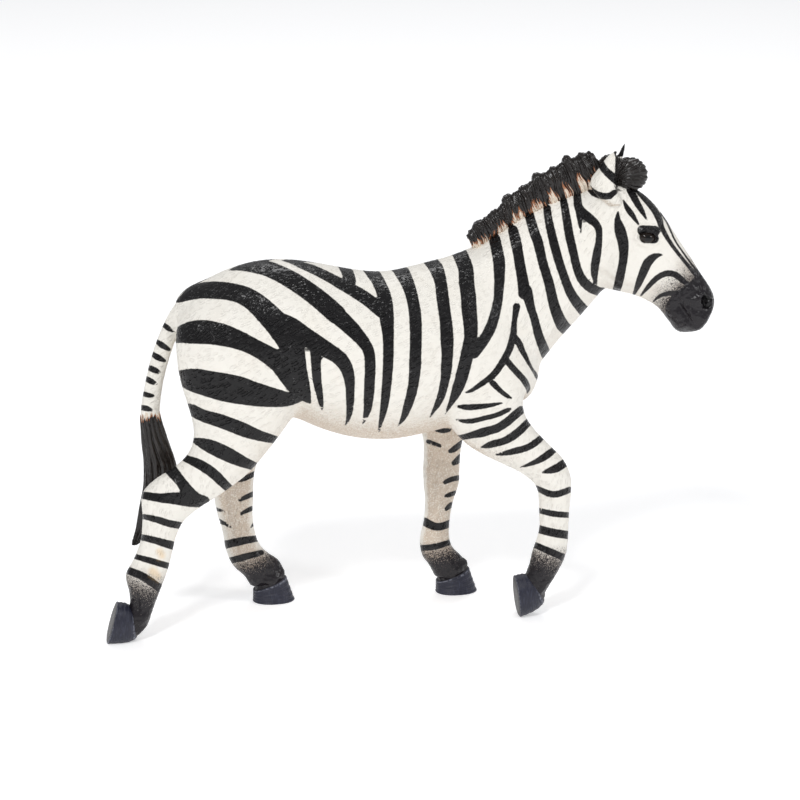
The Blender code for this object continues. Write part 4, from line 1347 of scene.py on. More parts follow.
    def carve(self, skin: Form, tree: BVHTree) -> None:
        """Carves the eyes, the face and the sinews of the legs.

        Args:
            skin: what is carved.
            tree: the skin without its lids.
        """
        self.eyes.carve(skin, tree)
        for side in (-1, 1):
            for path, reach, depth in FACE_GROOVES:
                skin.carve(turn_head(np.array(path) * (1.0, side, 1.0)), reach, depth)
        for leg in self.legs:
            half = len(leg.sections) // 2
            for side in (-1, 1):
                sinew = []
                for fx, fz, bx, bz, y, wide in leg.sections[half:-2]:
                    x, z = fx + (bx - fx) * self.sinew_back, fz + (bz - fz) * self.sinew_back
                    sinew.append((x, y + side * wide * self.sinew_out, z))
                skin.carve(sinew, 0.55, 0.34)

    def paint(self, skin: Form, ear_tree: KDTree) -> None:
        """Stores where the painter's colours go.

        Args:
            skin: the finished skin.
            ear_tree: the ears' points.
        """
        points, normals = skin.points, skin.normals
        ear_gap, turn = self.near_ears(points, ear_tree)
        on_ear = (ear_gap < 0.8) & (points[:, 2] > self.ear_low)
        head = self.head_share(points)
        far = points[:, 1] > 0.0

        # The near side as seen, and the far side mirrored on it
        body = points * np.where(far, -1.0, 1.0)[:, None] ** np.array([0, 1, 0])
        face = turn_head(points, -1.0)
        face[:, 1] = -np.abs(face[:, 1])
        face = turn_head(face)
        seen = Brush(
            FLANK_STRIPES + HAUNCH_STRIPES + NECK_STRIPES + NEAR_HIND_STRIPES + NEAR_FORE_STRIPES
        )
        stripe = seen.distance(self.view.pixels(body))
        on_face = Brush(FACE_STRIPES + NECK_STRIPES)
        share = ease(points[:, 0], 43.0, 46.0) * ramp(points[:, 2], 50.0, 60.0)
        stripe = stripe * (1.0 - share) + on_face.distance(self.view.pixels(face)) * share

        # Inner thighs are plain; the far legs have strokes of their own where they are seen
        inner = ramp(normals[:, 1] * np.where(far, -1.0, 1.0), 0.2, 0.6)
        inner *= ramp(np.abs(points[:, 1]), 9.0, 7.5)
        bare = 12.0 * inner * ramp(points[:, 2], 38.0, 44.0) * ramp(points[:, 2], 62.0, 54.0)
        stripe += np.where(points[:, 0] < 0.0, bare, 0.0)
        for leg in self.legs:
            if leg.side > 0:
                self.dress_far_leg(leg, points, normals, stripe)

        # The dock and the ears have their own bands, and the far ear a black tip
        dock = (points[:, 0] < -48.4) & (points[:, 2] < 71.0) & (np.abs(points[:, 1]) < 2.6)
        dock &= self.along(DOCK, points, 3.2)
        stripe[dock] = Brush(DOCK_STRIPES).distance(self.view.pixels(points[dock]))
        ring = np.flatnonzero(ear_gap < 2.4)
        base = Brush(EAR_STRIPES[:1]).distance(self.view.pixels(face[ring]))
        stripe[ring] = np.minimum(stripe[ring], base)
        stripe[on_ear] = Brush(EAR_STRIPES).distance(self.view.pixels(face[on_ear]))
        stripe[on_ear & far & (points[:, 2] > self.tip_low)] = -3.0

        # Dark muzzle and pasterns, and painted shade: black in the nostrils' hollows
        dusk = self.airbrush(points, face, head)
        for side in (-1, 1):
            heart = turn_head(np.array([self.nostril]) * (1.0, side, 1.0))[0]
            gap = np.linalg.norm((points - heart) / self.nostril_radii, axis=1)
            # Painted shade: no muzzle spray and black paint in the nostril's hollow
            dusk *= ramp(gap, 0.85, 1.1)
            stripe = np.minimum(stripe, (gap - 1.3) * 5.0)
        skin.keep("dusk", dusk)
        skin.keep("stripe", np.clip(stripe, -9.0, 9.0))

        # Warm sprayed wash and painted shade under the belly and the jaw and inside the legs
        x, y, z = points.T
        under = ramp(-normals[:, 2], 0.15, 0.75) * ramp(z, 34.0, 40.0) * ramp(x, -46.0, -36.0)
        skin.keep("wash", np.maximum(under * (1.0 - 0.5 * head), inner * ramp(z, 60.0, 40.0)))
        # Brown stains on the near hind leg, and painted shade in the ears' hollows
        near_hind = (y < 0.0) & (x < -20.0) & (z < 46.0)
        stain = Brush(STAINS, 6.0).distance(self.view.pixels(points))
        skin.keep("stain", ease(-stain, -3.5, 1.5) * near_hind)
        # Painted shade: the ears' hollows are painted dark
        hollow = on_ear & (turn < 0.10) & (points[:, 2] > self.hollow_low)
        skin.keep("hollow", hollow.astype(float))
        # Where the hair runs as on the legs or the neck, and where there is none
        skin.keep("limb", ramp(z, 50.0, 40.0))
        skin.keep("neck", ramp(x, 12.0, 26.0) * ramp(z, 50.0, 62.0))
        skin.keep("smooth", np.maximum(0.75 * head, ramp(dusk, 0.0, 0.5)))

    def near_ears(self, points: np.ndarray, tree: KDTree) -> tuple[np.ndarray, np.ndarray]:
        """Finds points among the ears' own.

        Args:
            points: the skin's points.
            tree: the ears' points.

        Returns:
            How far each is from an ear, and how far round from its hollow, 0 to 0.5.
        """
        gap = np.full(len(points), 9.0)
        turn = np.zeros(len(points))
        for k in np.flatnonzero((points[:, 2] > 88.0) & (points[:, 0] > 38.0)):
            _, nearest, gap[k] = tree.find(Vector(points[k]))
            turn[k] = abs(nearest % self.ears.sides / self.ears.sides - 0.5)
        return gap, turn

    def dress_far_leg(
        self, leg: Leg, points: np.ndarray, normals: np.ndarray, stripe: np.ndarray
    ) -> None:
        """Lays a far leg's own strokes where they are seen, and its twin's outside.

        Args:
            leg: the leg.
            points: the skin's points.
            normals: which way the skin faces at each.
            stripe: how far each is from the paint, changed here.
        """
        legs = (points[:, 1] > 1.5) & (points[:, 2] < 56.0)
        chosen = np.flatnonzero(legs & self.about(leg, points))
        spots = points[chosen]
        pair = leg.name.split("_")[1]
        twin = next(t for t in self.legs if t.side < 0 and t.name.endswith(pair))
        row, across = leg.locate(spots)
        mirrored = twin.outside(np.interp(row, *TWIN_ROWS[pair]), across)
        strokes = HAUNCH_STRIPES + FLANK_STRIPES + twin.strokes + NECK_STRIPES
        outer = Brush(strokes).distance(self.view.pixels(mirrored))
        own = Brush(leg.strokes).distance(self.view.pixels(spots))
        facing = ease(-normals[chosen, 1], -0.45, -0.05)
        painted = outer * (1.0 - facing) + own * facing
        low = ease(spots[:, 2], 54.0, 47.0)
        stripe[chosen] = stripe[chosen] * (1.0 - low) + painted * low

    def airbrush(self, points: np.ndarray, face: np.ndarray, head: np.ndarray) -> np.ndarray:
        """Finds where the dark muzzle and pasterns are, both with a speckled edge.

        Args:
            points: the skin's points.
            face: the same, with the far side of the head mirrored on the near one.
            head: 1 on the head, 0 on the body.

        Returns:
            How dark each point is, 0 to 1.
        """
        muzzle = Brush(MUZZLE_PAINT, 40.0).distance(self.view.pixels(face))
        dusk = np.interp(-muzzle, *MUZZLE_FADE) * ease(head, 0.3, 0.6)
        for leg in self.legs:
            foot = (points[:, 1] * leg.side > 0) & (points[:, 2] < 24.0)
            chosen = np.flatnonzero(foot & self.about(leg, points))
            row, _ = leg.locate(points[chosen])
            dusk[chosen] = np.maximum(dusk[chosen], ramp(row, *leg.dusk) ** 0.7)
        return dusk

    def about(self, leg: Leg, points: np.ndarray) -> np.ndarray:
        """Whether each point lies about the leg, not about the one beside it.

        Args:
            leg: the leg.
            points: rows of x, y and z.

        Returns:
            True or false for each.
        """
        table = np.array(leg.sections)
        z = (table[:, 1] + table[:, 3])[::-1] / 2
        x = np.interp(points[:, 2], z, ((table[:, 0] + table[:, 2]) / 2)[::-1])
        return np.abs(points[:, 0] - x) < 17.0

    def along(self, table: Rows, points: np.ndarray, reach: float) -> np.ndarray:
        """Whether each point lies within reach of a table's middle line.

        Args:
            table: the sections.
            points: rows of x, y and z.
            reach: how far, in millimetres.

        Returns:
            True or false for each.
        """
        line = spline(table, 1.0)
        middle = np.stack([(line[:, 0] + line[:, 2]) / 2, (line[:, 1] + line[:, 3]) / 2], 1)
        away = np.full(len(points), 1e9)
        for spot in middle:
            away = np.minimum(away, np.linalg.norm(points[:, [0, 2]] - spot, axis=1))
        return away < reach


@dataclass
class Mane:
    """Upright lobed mane along the crest, combed into wavy strands."""

    locks: int = 8
    lean: float = 22.0
    low: float = 3.8
    rise: float = 4.6
    grain: float = 0.2
    pitch: float = 0.85
    view: PhotoView = PhotoView()

    def crest(self, t: float) -> np.ndarray:
        """A point of the neck's crest, 0 at the withers end of the mane.

        Args:
            t: how far along the mane, 0 to 1.

        Returns:
            The point.
        """
        crest = np.array(NECK)
        x = crest[2, 0] + 1.0 + (crest[-1, 0] - crest[2, 0] - 1.6) * t
        return np.array([x, 0.0, np.interp(x, crest[:, 0], crest[:, 1])])

    def build(self, paint: bpy.types.Material) -> bpy.types.Object:
        """Makes the mane.

        Args:
            paint: its finish.

        Returns:
            The piece.
        """
        lean = math.radians(self.lean)
        up = np.array([-math.sin(lean), 0.0, math.cos(lean)])
        clay = Clay()
        for k in range(self.locks):
            t = (k + 0.5) / self.locks
            tall = self.low + self.rise * t + 0.35 * (-1) ** k
            wide = 0.62 * (self.crest(1.0) - self.crest(0.0))[0] / self.locks
            heart = self.crest(t) + up * tall * 0.42
            clay.ball(heart, (wide, 2.3, tall * 0.62), tilt=self.lean, sides=28)
        for t in np.arange(25) / 24:
            tall = self.low + self.rise * t
            heart = self.crest(t) + up * tall * 0.31
            clay.ball(heart, (1.7, 2.0, tall * 0.65), tilt=self.lean, sides=24)
        mane = clay.fuse("mane", self.grain)
        mane.relax(4)
        points = mane.points
        across = np.array([math.cos(lean), 0.0, math.sin(lean)])
        ends = np.array([self.crest(t) for t in np.linspace(0.0, 1.0, 60)])
        foot = np.interp(points @ across, ends @ across, ends @ up)
        height = points @ up - foot
        wave = ripple(points * (1.0, 0.6, 0.5), 3.2, 1.0)
        curl = ripple(points * (0.5, 0.3, 1.0), 2.2, 4.0)
        strand = points @ across + 0.55 * wave + 0.30 * curl
        groove = np.abs(np.sin(math.pi * strand / self.pitch)) ** 0.8
        fine = np.abs(np.sin(math.pi * (strand + 0.3 * wave) / (0.46 * self.pitch)))
        lump = ripple(points * (1.0, 1.0, 0.7), 1.7, 7.0)
        tall = self.low + self.rise * ramp(points @ across, *(ends @ across)[[0, -1]])
        tips = 1.0 - 0.75 * ramp(height / tall, 0.7, 1.0)
        mane.press((0.46 * (1.0 - groove) + 0.18 * (1.0 - fine)) * tips - 0.34 * lump)
        foot_z = np.interp(points @ across, ends @ across, ends[:, 2]) - 0.4
        foot_x = np.interp(points @ across, ends @ across, ends[:, 0])
        foot = np.stack([foot_x, np.full(len(points), -2.2), foot_z], 1)
        stripe = Brush(NECK_STRIPES + FLANK_STRIPES).distance(self.view.pixels(foot))
        reach = 0.24 + 0.36 * ease(stripe, -1.5, 3.0)
        light = 0.25 + 0.75 * ease(stripe, -2.5, 2.5)
        mane.keep("root", (1.0 - ramp(height / tall, 0.0, reach)) * light)
        mane.keep("groove", 1.0 - groove)
        mane.keep("strand", strand)
        return mane.set_down(paint)


@dataclass
class Forelock:
    """Round forelock over the brow, its strands fanning from between the ears."""

    heart: Spot = (50.7, 0.0, 97.5)
    radii: Spot = (4.0, 3.0, 3.9)
    grain: float = 0.17
    strands: int = 21

    def build(self, paint: bpy.types.Material) -> bpy.types.Object:
        """Makes the forelock.

        Args:
            paint: its finish.

        Returns:
            The piece.
        """
        clay = Clay()
        lock = Clay()
        lock.ball(self.heart, self.radii, tilt=-20, sides=36)
        lock.ball((46.6, 0.0, 98.0), (3.6, 2.4, 4.0), sides=32)
        clay.take(lock, turned=True)
        form = clay.fuse("forelock", self.grain)
        form.relax(3)
        away = turn_head(form.points, -1.0) - (self.heart[0] - 4.6, 0.0, self.heart[2] - 1.2)
        wave = ripple(form.points, 2.4, 3.0)
        fan = np.arctan2(away[:, 2], away[:, 0]) + 0.10 * wave + 0.035 * away[:, 1]
        groove = np.abs(np.sin(self.strands * fan)) ** 0.7
        fine = np.abs(np.sin(2.3 * self.strands * fan + wave))
        lump = ripple(form.points, 1.6, 9.0)
        form.press(0.30 * (1.0 - groove) + 0.10 * (1.0 - fine) - 0.16 * lump)
        form.keep("root", np.zeros(len(away)))
        form.keep("groove", 1.0 - groove)
        form.keep("strand", fan * 6.0)
        return form.set_down(paint)


@dataclass
class Tuft:
    """The tail's tuft, its strands twisting a little as they hang."""

    strands: int = 13
    twist: float = 0.02
    grain: float = 0.18

    def build(self, paint: bpy.types.Material) -> bpy.types.Object:
        """Makes the tuft.

        Args:
            paint: its finish.

        Returns:
            The piece.
        """
        clay = Clay()
        clay.loft(TUFT, sides=40, step=0.5)
        form = clay.fuse("tail_tuft", self.grain)
        form.relax(3)
        points = form.points
        line = spline(TUFT, 0.5)
        height = points[:, 2]
        order = np.argsort(line[:, 1] + line[:, 3])
        z = ((line[:, 1] + line[:, 3]) / 2)[order]
        x = np.interp(height, z, ((line[:, 0] + line[:, 2]) / 2)[order])
        half = np.interp(height, z, (np.abs(line[:, 2] - line[:, 0]) / 2)[order])
        deep = np.interp(height, z, line[:, 5][order])
        turn = np.arctan2(points[:, 1] / deep, (points[:, 0] - x) / np.maximum(half, 0.3))
        wave = ripple(points * (1.0, 1.0, 0.35), 2.6, 5.0)
        swing = turn + self.twist * (height - 30.0) + 0.16 * wave
        groove = np.abs(np.sin(self.strands * swing / 2)) ** 0.7
        fine = np.abs(np.sin(1.15 * self.strands * swing + wave))
        lump = ripple(points * (1.0, 1.0, 0.4), 1.8, 2.0)
        form.press(0.42 * (1.0 - groove) + 0.14 * (1.0 - fine) - 0.20 * lump)
        form.keep("root", ramp(height, 46.2, 48.6))
        form.keep("groove", 1.0 - groove)
        form.keep("strand", swing * 3.0)
        return form.set_down(paint)


@dataclass
class Hoof:
    """One hoof: a ridged wall sloping out from the coronet to a flat sole."""

    leg: Leg
    length: float = 9.4
    width: float = 7.2
    rise: float = 5.6
    slope: float = 0.9
    sides: int = 112

    @property
    def tall(self) -> float:
        """How far the wall reaches above the sole."""
        return self.rise * (1.08 if self.leg.rise else 1.0)

    @property
    def level(self) -> float:
        """The wall's height midway from toe to heel, as a share of the toe's."""
        return 0.80 if self.leg.rise else 0.74

    def place(self) -> Matrix:
        """Where the hoof stands or tips, from its toe.

        Returns:
            The hoof's own frame.
        """
        fx, _, bx, _, y, _ = self.leg.sections[-1]
        drop = -0.3 if self.leg.rise else 0.0
        return (
            Matrix.Translation(((fx + bx) / 2 + self.leg.ahead, y, drop))
            @ Matrix.Rotation(math.radians(self.leg.turn), 4, "Z")
            @ Matrix.Rotation(math.radians(self.leg.rise), 4, "Y")
        )

    def coronet(self) -> list[list[Vector]]:
        """The skin's swelling over the hoof, from inside its wall upward.

        Returns:
            Its rings of points.
        """
        place = self.place()
        rings = []
        # How high each ring is and how wide, in shares of the wall's
        steps = ((0.72, 0.70), (0.90, 0.735), (1.0, 0.73), (1.12, 0.70), (1.28, 0.62), (1.40, 0.46))
        if self.leg.rise:
            steps = ((0.72, 0.60), (0.90, 0.62), (1.0, 0.60), (1.10, 0.50), (1.18, 0.34))
        for t, share in steps:
            ring = []
            for _, c, s in around(36):
                u, v = c * self.length / 2 * share, s * self.width / 2 * share
                height = self.rise * t * (self.level + (1.0 - self.level) * c)
                ring.append(place @ Vector((u - self.length / 2 - self.slope * t, v, height)))
            rings.append(ring)
        return rings

    def build(self, paint: bpy.types.Material) -> bpy.types.Object:
        """Makes the hoof.

        Args:
            paint: its finish.

        Returns:
            The piece.
        """
        flat = self.leg.rise == 0.0
        rings, bands, rim = [], [], []
        # How wide each ring is and how high, in shares, under the sole and back over the top
        profile = [(0.55, -0.02), (0.80, -0.02), (0.93, 0.0), (0.985, 0.012)]
        profile += [(1.0, t) for t in np.linspace(0.03, 0.95, 44)]
        profile += [(0.985, 0.985), (0.93, 1.01), (0.80, 1.02), (0.55, 1.02)]
        for share, t in profile:
            up = min(max(t, 0.0), 1.0)
            grow = (1.0 - 0.20 * up if flat else 1.0 - 0.06 * up - 0.30 * up**4) * share
            ridge = 0.010 * math.sin(26.0 * up + 0.8) * math.exp(-(((up - 0.5) / 0.4) ** 4))
            collar = 0.030 * math.exp(-(((up - 0.93) / 0.045) ** 2))
            base = 0.018 * math.exp(-(((up - 0.04) / 0.035) ** 2))
            grow *= 1.0 + ridge + (0.4 if flat else 1.0) * collar + base
            ring = []
            for _, c, s in around(self.sides):
                u = math.copysign(abs(c) ** 0.9, c) * self.length / 2 * grow
                v = math.copysign(abs(s) ** 0.9, s) * self.width / 2 * grow
                height = self.tall * t * (self.level + (1.0 - self.level) * c if t > 0 else 1.0)
                ring.append((u - self.length / 2 - self.slope * up, v, height))
            rings.append(ring)
            bands += [up] * self.sides
            rim += [share] * self.sides
        place = self.place()
        clay = Clay()
        clay.skin([[place @ Vector(p) for p in ring] for ring in rings])
        form = clay.form(f"hoof_{self.leg.name}")
        form.keep("height", np.array(bands))
        form.keep("sole", 1.0 - ramp(np.array(rim), 0.9, 0.99))
        return form.set_down(paint)


class Wiring:
    """Puts nodes in a tree and joins them up."""

    def __init__(self, tree: bpy.types.NodeTree) -> None:
        self.tree = tree

    def add(self, kind: str, inputs: dict | None = None, **settings: object) -> bpy.types.Node:
        """Adds a node.

        Args:
            kind: the node's type, without its ShaderNode.
            inputs: what goes into its sockets, by name or number.
            **settings: the node's own settings.

        Returns:
            The node.
        """
        node = self.tree.nodes.new("ShaderNode" + kind)
        for name, value in settings.items():
            setattr(node, name, value)
        self.fill(node, inputs or {})
        return node

    def fill(self, node: bpy.types.Node, inputs: dict) -> None:
        """Gives a node's sockets their values.

        Args:
            node: the node.
            inputs: numbers, colours or what another node puts out, by socket.
        """
        for key, value in inputs.items():
            if isinstance(value, bpy.types.NodeSocket):
                self.tree.links.new(value, node.inputs[key])
            else:
                node.inputs[key].default_value = value

    def math(
        self, operation: str, a: object, b: object = 0.0, clamp: bool = False
    ) -> bpy.types.NodeSocket:
        """The result of a Math node."""
        return self.add("Math", {0: a, 1: b}, operation=operation, use_clamp=clamp).outputs[0]

    def plus(self, a: object, b: object) -> bpy.types.NodeSocket:
        """One value plus another."""
        return self.math("ADD", a, b)

    def times(self, a: object, b: object) -> bpy.types.NodeSocket:
        """One value times another."""
        return self.math("MULTIPLY", a, b)

    def rest(self, value: object) -> bpy.types.NodeSocket:
        """What a value leaves of 1, or 0 if it is more."""
        return self.math("SUBTRACT", 1.0, value, clamp=True)

    def step(self, value: object, low: object, high: object) -> bpy.types.NodeSocket:
        """0 at low and 1 at high, rounded at both ends."""
        inputs = {"Value": value, "From Min": low, "From Max": high}
        return self.add("MapRange", inputs, interpolation_type="SMOOTHSTEP").outputs[0]

    def mix(self, share: object, a: object, b: object) -> bpy.types.NodeSocket:
        """Colour a turning into colour b; a plain colour is a tuple of three."""
        a, b = ((*c, 1.0) if isinstance(c, tuple) else c for c in (a, b))
        return self.add("Mix", {0: share, 6: a, 7: b}, data_type="RGBA").outputs[2]

    def blend(self, share: object, a: object, b: object) -> bpy.types.NodeSocket:
        """Value a turning into value b."""
        return self.add("Mix", {0: share, 2: a, 3: b}).outputs[0]

    def noise(self, at: object, scale: object, detail: float = 2.0) -> bpy.types.NodeSocket:
        """Noise, about 0.5 on average."""
        inputs = {"Vector": at, "Scale": scale, "Detail": detail}
        return self.add("TexNoise", inputs).outputs["Fac"]

    def stored(self, name: str) -> bpy.types.NodeSocket:
        """A number that the mesh keeps at each point."""
        return self.add("Attribute", attribute_name=name).outputs["Fac"]

    def place(self) -> bpy.types.NodeSocket:
        """Where the surface is on the object, in millimetres."""
        spot = self.add("TexCoord").outputs["Object"]
        return self.add("VectorMath", {0: spot, 3: 1.0 / MM}, operation="SCALE").outputs[0]


class Effect(Enum):
    """The effects that the finishes share."""

    DASHES = "engraved_dashes"
    EDGE = "painted_edge"
    SPECKLE = "airbrush_speckle"
    STRANDS = "combed_strands"


@dataclass(frozen=True)
class EffectMaker:
    """Builds each shared effect once, as a node group."""

    def get(self, effect: Effect) -> bpy.types.NodeTree:
        """Finds or builds a group.

        Args:
            effect: which one.

        Returns:
            The group.
        """
        found = bpy.data.node_groups.get(effect.value)
        if found:
            return found
        makers = {
            Effect.DASHES: self.dashes,
            Effect.EDGE: self.edge,
            Effect.SPECKLE: self.speckle,
            Effect.STRANDS: self.strands,
        }
        return makers[effect]()

    def start(
        self, effect: Effect, takes: dict[str, float | None], gives: Sequence[str]
    ) -> tuple[bpy.types.NodeTree, Wiring, bpy.types.Node, bpy.types.Node]:
        """Starts a group.

        Args:
            effect: which one.
            takes: its inputs, each with its usual value, or None for a vector.
            gives: its outputs.

        Returns:
            The group, its wiring, and its input and output nodes.
        """
        group = bpy.data.node_groups.new(effect.value, "ShaderNodeTree")
        for name, value in takes.items():
            kind = "NodeSocketVector" if value is None else "NodeSocketFloat"
            socket = group.interface.new_socket(name, in_out="INPUT", socket_type=kind)
            if value is not None:
                socket.default_value = value
        for name in gives:
            group.interface.new_socket(name, in_out="OUTPUT", socket_type="NodeSocketFloat")
        wiring = Wiring(group)
        return group, wiring, group.nodes.new("NodeGroupInput"), group.nodes.new("NodeGroupOutput")

    def dashes(self) -> bpy.types.NodeTree:
        """Short engraved hairs, all running one way.

        Returns:
            A group from Place, Turn, Length, Width and Amount to Height.
        """
        takes = {"Place": None, "Turn": 0.0, "Length": 1.6, "Width": 0.42, "Amount": 0.6}
        group, w, given, out = self.start(Effect.DASHES, takes, ["Height"])
        turn = {"Vector": given.outputs["Place"], "Angle": given.outputs["Turn"]}
        turned = w.add("VectorRotate", turn, rotation_type="Y_AXIS").outputs[0]
        long = w.math("DIVIDE", 1.0, given.outputs["Length"])
        thin = w.math("DIVIDE", 1.0, given.outputs["Width"])
        size = w.add("CombineXYZ", {"X": long, "Y": thin, "Z": thin}).outputs[0]
        cells = w.add("VectorMath", {0: turned, 1: size}, operation="MULTIPLY").outputs[0]
        dots = w.add("TexVoronoi", {"Vector": cells, "Scale": 1.0})
        there = w.add("SeparateColor", {0: dots.outputs["Color"]}).outputs[0]
        shown = w.math("LESS_THAN", there, given.outputs["Amount"])
        dent = w.step(dots.outputs["Distance"], 0.62, 0.22)
        w.fill(out, {"Height": w.times(dent, shown)})
        return group

    def edge(self) -> bpy.types.NodeTree:
        """Where a painted patch lies, with the slight wander of a hand's edge.

        Returns:
            A group from Place, Distance, Wander and Softness to Mask.
        """
        takes = {"Place": None, "Distance": 0.0, "Wander": 0.8, "Softness": 0.5}
        group, w, given, out = self.start(Effect.EDGE, takes, ["Mask"])
        rough = w.math("SUBTRACT", w.noise(given.outputs["Place"], 1.3, 3.0), 0.5)
        away = w.plus(given.outputs["Distance"], w.times(rough, given.outputs["Wander"]))
        half = given.outputs["Softness"]
        w.fill(out, {"Mask": w.step(away, half, w.times(half, -1.0))})
        return group

    def speckle(self) -> bpy.types.NodeTree:
        """Fine dark spray that closes up as its cover grows.

        Returns:
            A group from Place, Cover and Size to Mask.
        """
        takes = {"Place": None, "Cover": 0.0, "Size": 0.35}
        group, w, given, out = self.start(Effect.SPECKLE, takes, ["Mask"])
        dots = w.noise(given.outputs["Place"], w.math("DIVIDE", 1.0, given.outputs["Size"]))
        value = w.plus(dots, w.times(given.outputs["Cover"], 0.75))
        w.fill(out, {"Mask": w.step(value, 0.72, 0.90)})
        return group

    def strands(self) -> bpy.types.NodeTree:
        """Hair-fine lines along combed strands.

        Returns:
            A group from Place, Strand and Fineness to Height.
        """
        takes = {"Place": None, "Strand": 0.0, "Fineness": 6.0}
        group, w, given, out = self.start(Effect.STRANDS, takes, ["Height"])
        line = w.times(given.outputs["Strand"], given.outputs["Fineness"])
        slow = {0: given.outputs["Place"], 3: 0.25}
        soft = w.add("VectorMath", slow, operation="SCALE").outputs[0]
        spot = w.add("SeparateXYZ", {0: soft})
        at = w.add("CombineXYZ", {"X": line, "Y": spot.outputs[1], "Z": spot.outputs[2]})
        w.fill(out, {"Height": w.noise(at.outputs[0], 1.0)})
        return group


class Finish:
    """What every finish starts from: a material with its shader."""

    def start(self, name: str) -> tuple[bpy.types.Material, Wiring, bpy.types.Node]:
        """Makes an empty material.

        Args:
            name: its name.

        Returns:
            The material, its wiring and its shader.
        """
        paint = bpy.data.materials.new(name)
        paint.use_nodes = True
        wiring = Wiring(paint.node_tree)
        return paint, wiring, paint.node_tree.nodes["Principled BSDF"]

    def use(self, w: Wiring, effect: Effect, **inputs: object) -> bpy.types.NodeSocket:
        """Places a shared effect in a material.

        Args:
            w: the material's wiring.
            effect: which one.
            **inputs: what goes into it.

        Returns:
            What it puts out.
        """
        return w.add("Group", inputs, node_tree=EffectMaker().get(effect)).outputs[0]

    def bump(self, w: Wiring, shader: bpy.types.Node, height: object, deep: float) -> None:
        """Feeds a height, 0 to 1, to the shader's normal; deep is in millimetres."""
        node = w.add("Bump", {"Height": height, "Distance": deep * MM, "Strength": 1.0})
        w.fill(shader, {"Normal": node.outputs[0]})


@dataclass(frozen=True)
class CoatPaint(Finish):
    """Warm white with satin black stripes, over engraved hair."""

    white: RGB = (0.86, 0.83, 0.765)
    shade: RGB = (0.78, 0.71, 0.60)
    # Painted shade in the engraved hair's grooves
    groove_shade: RGB = (0.56, 0.47, 0.37)
    black: RGB = (0.0045, 0.004, 0.0045)
    thin_black: RGB = (0.024, 0.022, 0.024)
    # Sprayed brown wash, partly painted shade under the body and inside the legs
    wash: RGB = (0.53, 0.415, 0.31)
    stain: RGB = (0.80, 0.52, 0.20)
    dusk: RGB = (0.013, 0.011, 0.0135)
    haze: RGB = (0.30, 0.235, 0.19)
    # Painted shade in the ears' hollows
    ear_hollow_shade: RGB = (0.05, 0.042, 0.038)
    # Turn, length, width and amount of the hair on the body, the neck and the legs
    hairs: Rows = ((0.5, 1.8, 0.6, 0.7), (0.95, 1.6, 0.55, 0.65), (1.3, 1.5, 0.5, 0.5))
    hair_depth: float = 0.42

    def make(self) -> bpy.types.Material:
        """Mixes the paint.

        Returns:
            The material.
        """
        paint, w, shader = self.start("zebra_coat")
        place = w.place()
        body, neck, limb = (
            self.use(w, Effect.DASHES, Place=place, Turn=turn, Length=long, Width=wide, Amount=much)
            for turn, long, wide, much in self.hairs
        )
        hair = w.blend(w.stored("limb"), w.blend(w.stored("neck"), body, neck), limb)
        hair = w.times(hair, w.rest(w.stored("smooth")))

        # White with faint clouds, painted shade in the engraved hair, and a sprayed brown wash with
        # painted shade under the body
        cloud = w.noise(place, 0.16, 3.0)
        white = w.mix(w.times(w.step(cloud, 0.42, 0.78), 0.16), self.white, self.shade)
        # Painted shade: the engraved hair is darker in its grooves
        faint = w.times(w.step(w.noise(place, 0.22), 0.38, 0.70), 0.09)
        white = w.mix(w.times(hair, faint), white, self.groove_shade)
        # Sprayed wash and painted shade under the body and inside the legs
        wash = w.stored("wash")
        spray = self.use(w, Effect.SPECKLE, Place=place, Cover=w.times(wash, 0.5), Size=0.3)
        white = w.mix(w.times(w.plus(w.times(spray, 0.5), 0.3), wash), white, self.wash)

        # Black stripes, thinner in spots
        edge = {"Place": place, "Distance": w.stored("stripe"), "Wander": 0.85, "Softness": 0.45}
        stripe = self.use(w, Effect.EDGE, **edge)
        thin = w.step(w.noise(place, 0.9, 4.0), 0.58, 0.80)
        black = w.mix(w.times(thin, 0.4), self.black, self.thin_black)
        colour = w.mix(stripe, white, black)
        colour = w.mix(w.times(w.stored("stain"), 0.45), colour, self.stain)

        # Brown haze and dark spray on the muzzle and the pasterns
        cover = w.stored("dusk")
        misty = w.plus(cover, w.times(w.math("SUBTRACT", cloud, 0.5), 0.3))
        haze = w.times(w.step(misty, 0.1, 0.6), w.rest(stripe))
        colour = w.mix(w.times(haze, 0.75), colour, self.haze)
        spray = self.use(w, Effect.SPECKLE, Place=place, Cover=cover, Size=0.19)
        dusk = w.times(spray, w.step(cover, 0.1, 0.3))
        dusk = w.math("MAXIMUM", dusk, w.times(w.step(cover, 0.5, 1.0), 0.95))
        colour = w.mix(dusk, colour, self.dusk)
        # Painted shade: dark brown in the ears' hollows
        colour = w.mix(w.times(w.stored("hollow"), 0.85), colour, self.ear_hollow_shade)

        # The dark paint has more gloss; the muzzle is lumpy
        dark = w.math("MAXIMUM", stripe, dusk)
        sheen = w.plus(0.44, w.times(dark, -0.22))
        rough = w.plus(sheen, w.times(w.noise(place, 2.2), 0.08))
        w.fill(shader, {"Base Color": colour, "Roughness": rough, "Specular IOR Level": 0.34})
        grit = w.times(w.noise(place, 1.1, 3.0), 0.38)
        height = w.times(w.plus(w.times(hair, -1.0), grit), w.plus(0.3, w.times(dark, 0.7)))
        lumps = w.times(w.noise(place, 0.3), w.times(cover, 4.2))
        self.bump(w, shader, w.plus(height, lumps), self.hair_depth)
        return paint


